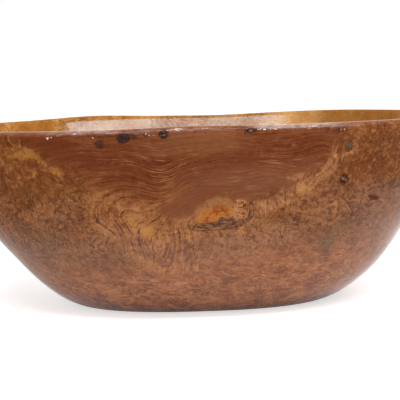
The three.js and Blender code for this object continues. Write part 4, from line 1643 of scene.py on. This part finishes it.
class WoodColours(PropertyGroup):
    """Colours of the wood, the knots and the bark, and of the painted highlights, glints, glare and shade."""

    burl_shade: paint("Burl shade", "Darkest ground of the burl", 84, 40, 14)
    burl_brown: paint("Burl brown", "Middle ground of the burl", 114, 61, 22)
    burl_tan: paint("Burl tan", "Light ground of the burl", 136, 82, 42)
    burl_red: paint("Burl red", "Redder ground high on the sides", 112, 54, 10)
    burl_gold: paint("Burl gold", "Golden flecks of the burl", 160, 104, 60)
    # Painted reflection of the glare on the inner far wall, laid into the colour.
    painted_glare: paint("Lacquer bloom", "Milky bloom of the lacquer inside the far wall", 150, 122, 104)
    burl_line: paint("Burl line", "Thin curly lines of the burl", 62, 30, 12)
    eye_brown: paint("Eye brown", "The small round eyes of the burl", 62, 30, 12)
    foot_shade: paint("Foot shade", "Darker ground near the foot", 126, 66, 34)
    foot_line: paint("Foot line", "Thin curly lines near the foot", 96, 46, 26)
    foot_brown: paint("Foot brown", "Ground near the foot", 154, 90, 46)
    foot_tan: paint("Foot tan", "Light flecks near the foot", 184, 120, 72)
    inner_brown: paint("Inner brown", "Darker ground inside the bowl", 138, 88, 40)
    inner_cream: paint("Inner cream", "Light clouds inside the bowl", 196, 146, 88)
    inner_gold: paint("Inner gold", "Ground inside the bowl", 168, 110, 46)
    swirl_shade: paint("Swirl shade", "Darker wood of the swirl", 112, 58, 24)
    swirl_tan: paint("Swirl tan", "Wood of the swirl", 148, 90, 50)
    swirl_gold: paint("Swirl gold", "Golden wood of the swirl", 184, 124, 74)
    bright_gold: paint("Bright gold", "The brightest patches of gold", 188, 126, 56)
    purple_stain: paint("Purple stain", "Purplish stains in the swirl", 110, 66, 52)
    ring_line: paint("Ring line", "Thin dark growth rings", 66, 34, 18)
    band_shade: paint("Band shade", "Darkest wood of the band under the lip", 86, 34, 4)
    band_brown: paint("Band brown", "Wood of the band under the lip", 108, 50, 14)
    band_red: paint("Band red", "Redder wood of the band", 122, 64, 32)
    band_pink: paint("Band pink", "Pinker wood at the band's lower right", 126, 76, 50)
    band_streak: paint("Band streak", "Fine light streaks in the band", 166, 110, 72)
    tongue_red: paint("Tongue red", "The plain red-brown tongue over the swirl", 124, 70, 48)
    red_patch: paint("Red patch", "The maroon patch under the lip", 102, 44, 12)
    ribbon_shade: paint("Ribbon shade", "Dark curls across the ribbon", 112, 60, 32)
    ribbon_tan: paint("Ribbon tan", "Wood of the ribbon", 160, 102, 64)
    ribbon_gold: paint("Ribbon gold", "Golden curls of the ribbon", 194, 134, 86)
    heart_tan: paint("Heart tan", "Upper part of the heart", 154, 102, 64)
    heart_ember: paint("Heart ember", "Dark flames in the orange", 130, 60, 20)
    heart_orange: paint("Heart orange", "Orange part of the heart", 182, 108, 42)
    pale_wood: paint("Pale wood", "Lighter flecked wood low on the sides", 190, 130, 92)
    mist_green: paint("Mist green", "Greenish-grey smears", 92, 72, 46)
    # Also the colour of the painted shade under the lip.
    knot_stain: paint("Knot stain", "Dark stain in the wood round the knots and the bark", 56, 30, 20)
    # Painted glints and highlight lines on the lip.
    glint_white: paint("Chip white", "Small chips in the lacquer of the lip", 240, 228, 218)
    # Painted highlight: the broad dull sheen along the lip.
    painted_lip_sheen: paint("Worn lip", "Greyed wood where the lip is worn", 140, 100, 86)
    crack: paint("Crack", "Hairline cracks", 58, 32, 22)
    bark_black: paint("Bark black", "Deepest bark at the lip", 32, 18, 16)
    bark_brown: paint("Bark brown", "Brown bark at the lip", 54, 32, 26)
    bark_green: paint("Bark green", "Greenish bark at the lip", 62, 46, 38)
    bark_fleck: paint("Bark fleck", "Pale flecks in the bark", 120, 96, 80)
    seam_dark: paint("Seam dark", "Darkest bark by the heart", 56, 34, 28)
    seam_purple: paint("Seam purple", "Purple-grey bark by the heart", 112, 64, 56)
    seam_edge: paint("Seam edge", "Stained edge of the seam", 92, 54, 38)
    seam_green: paint("Seam green", "Greenish bark by the heart", 126, 96, 54)
    knot_dark: paint("Knot dark", "Darkest knot wood", 38, 18, 10)
    knot_red: paint("Knot red", "Red-brown knot wood", 90, 42, 30)
    knot_pale: paint("Knot pale", "Pale cracks of the knots", 150, 104, 66)
    knot_grey: paint("Knot grey", "Grey rings of the ringed knot", 104, 84, 58)


# The steps of the work


def bowl_form(context):
    return BowlForm(context.scene.bowl_sizes)


def shared_groups():
    """The node groups that more than one material uses, made once."""
    makers = {"Ragged edge": ragged_edge_group, "Burl eyes": burl_eyes_group, "Lacquer": lacquer_group}
    return {name: bpy.data.node_groups.get(name) or make() for name, make in makers.items()}


class BURLBOWL_OT_carve(Operator):
    """Carve the bowl from one piece of burl, with a blind pocket for each knot"""

    bl_idname = "burl_bowl.carve"
    bl_label = "Carve the bowl"

    def execute(self, context):
        bowl = carve_bowl(bowl_form(context))
        material = lacquered_burl(context.scene.wood_colours, shared_groups())
        hand_in(bowl, "burl_bowl", "bowl", material)
        return {"FINISHED"}


class BURLBOWL_OT_seat_rim_barks(Operator):
    """Seat the three pockets of bark at the lip"""

    bl_idname = "burl_bowl.seat_rim_barks"
    bl_label = "Seat the bark at the lip"

    def execute(self, context):
        form = bowl_form(context)
        material = encased_bark(context.scene.wood_colours, shared_groups())
        marks = ((LEFT_RIM_BARK, ""), (MIDDLE_RIM_BARK, "knot_flecked"), (RIGHT_RIM_BARK, "knot_flecked"))
        for knot, mark in marks:
            bark = seat_plug(form, knot, KNOT_FINENESS, bark_relief, mark)
            hand_in(bark, f"{knot.name}_plug", knot.name, material)
        return {"FINISHED"}


class BURLBOWL_OT_seat_dark_knots(Operator):
    """Seat the pin knot, the split knot and the lens knot"""

    bl_idname = "burl_bowl.seat_dark_knots"
    bl_label = "Seat the dark knots"

    def execute(self, context):
        form = bowl_form(context)
        material = dark_knot(context.scene.wood_colours, shared_groups())
        kinds = (
            (RIM_PIN_KNOT, smooth_relief, ""),
            (SPLIT_KNOT, split_relief, "knot_split"),
            (LENS_KNOT, smooth_relief, "knot_reddened"),
        )
        for knot, relief, mark in kinds:
            plug = seat_plug(form, knot, KNOT_FINENESS, relief, mark)
            hand_in(plug, f"{knot.name}_plug", knot.name, material)
        return {"FINISHED"}


class BURLBOWL_OT_seat_ringed_knot(Operator):
    """Seat the greenish-grey ringed knot"""

    bl_idname = "burl_bowl.seat_ringed_knot"
    bl_label = "Seat the ringed knot"

    def execute(self, context):
        plug = seat_plug(bowl_form(context), RINGED_KNOT, KNOT_FINENESS, ringed_relief)
        material = grey_knot(context.scene.wood_colours, shared_groups())
        hand_in(plug, "ringed_knot_plug", "ringed_knot", material)
        return {"FINISHED"}


class BURLBOWL_OT_seat_heart_seam(Operator):
    """Seat the seam of bark under and beside the heart"""

    bl_idname = "burl_bowl.seat_heart_seam"
    bl_label = "Seat the heart's seam"

    def execute(self, context):
        seam = seat_plug(bowl_form(context), HEART_SEAM, SEAM_FINENESS, bark_relief)
        material = seam_bark(context.scene.wood_colours, shared_groups())
        hand_in(seam, "heart_seam_plug", "heart_bark_seam", material)
        return {"FINISHED"}


def add_lamp(name, place, width, power):
    """A long softbox that faces away from the camera's side, down to the bowl."""
    lamp = bpy.data.lights.new(name, "AREA")
    lamp.shape = "RECTANGLE"
    lamp.size, lamp.size_y, lamp.energy = width, LAMP_HEIGHT, power
    box = bpy.data.objects.new(name, lamp)
    bpy.context.scene.collection.objects.link(box)
    box.location = place
    box.rotation_euler = (LAMP_PITCH, 0, 0)


class BURLBOWL_OT_set_stage(Operator):
    """Set the floor, the light and the camera"""

    bl_idname = "burl_bowl.set_stage"
    bl_label = "Set the stage"

    def execute(self, context):
        deselect_all()
        bpy.ops.mesh.primitive_plane_add(size=FLOOR_SIZE, location=(0, 0, -FLOOR_GAP))
        floor = context.object
        bpy.ops.object.transform_apply(location=True, rotation=False, scale=False)
        floor.name = floor.data.name = "studio_floor"
        floor.data.materials.append(studio_floor())
        studio_world()
        for name, place, width, power in LAMPS:
            add_lamp(name, place, width, power)
        lens = bpy.data.cameras.new("camera")
        lens.sensor_width = SENSOR_WIDTH
        lens.lens = FOCAL_LENGTH
        camera = bpy.data.objects.new("camera", lens)
        context.scene.collection.objects.link(camera)
        level = Vector((0, math.cos(CAMERA_PITCH), -math.sin(CAMERA_PITCH)))
        upright = Vector((0, math.sin(CAMERA_PITCH), math.cos(CAMERA_PITCH)))
        sideways = Vector((1, 0, 0))
        right = sideways * math.cos(CAMERA_ROLL) - upright * math.sin(CAMERA_ROLL)
        up = sideways * math.sin(CAMERA_ROLL) + upright * math.cos(CAMERA_ROLL)
        turn = Matrix((right, up, -level)).transposed().to_4x4()
        camera.matrix_world = Matrix.Translation(CAMERA_PLACE) @ turn
        context.scene.camera = camera
        context.scene.view_settings.view_transform = "Standard"
        return {"FINISHED"}


STEPS = (
    BURLBOWL_OT_carve, BURLBOWL_OT_seat_rim_barks, BURLBOWL_OT_seat_dark_knots, BURLBOWL_OT_seat_ringed_knot,
    BURLBOWL_OT_seat_heart_seam, BURLBOWL_OT_set_stage,
)


class BURLBOWL_PT_steps(Panel):
    """Lists the steps, the sizes and the colours"""

    bl_idname = "BURLBOWL_PT_steps"
    bl_label = "Burl bowl"
    bl_space_type = "VIEW_3D"
    bl_region_type = "UI"
    bl_category = "Burl bowl"

    def draw(self, context):
        for step in STEPS:
            self.layout.operator(step.bl_idname)
        for group in (context.scene.bowl_sizes, context.scene.wood_colours):
            box = self.layout.box()
            for name in group.__annotations__:
                box.prop(group, name)


CLASSES = (BowlSizes, WoodColours, *STEPS, BURLBOWL_PT_steps)


def register():
    for kind in CLASSES:
        bpy.utils.register_class(kind)
    bpy.types.Scene.bowl_sizes = PointerProperty(type=BowlSizes)
    bpy.types.Scene.wood_colours = PointerProperty(type=WoodColours)


def unregister():
    del bpy.types.Scene.wood_colours
    del bpy.types.Scene.bowl_sizes
    for kind in reversed(CLASSES):
        bpy.utils.unregister_class(kind)


def main():
    register()
    bpy.ops.burl_bowl.carve()
    bpy.ops.burl_bowl.seat_rim_barks()
    bpy.ops.burl_bowl.seat_dark_knots()
    bpy.ops.burl_bowl.seat_ringed_knot()
    bpy.ops.burl_bowl.seat_heart_seam()
    bpy.ops.burl_bowl.set_stage()


if __name__ == "__main__":
    main()
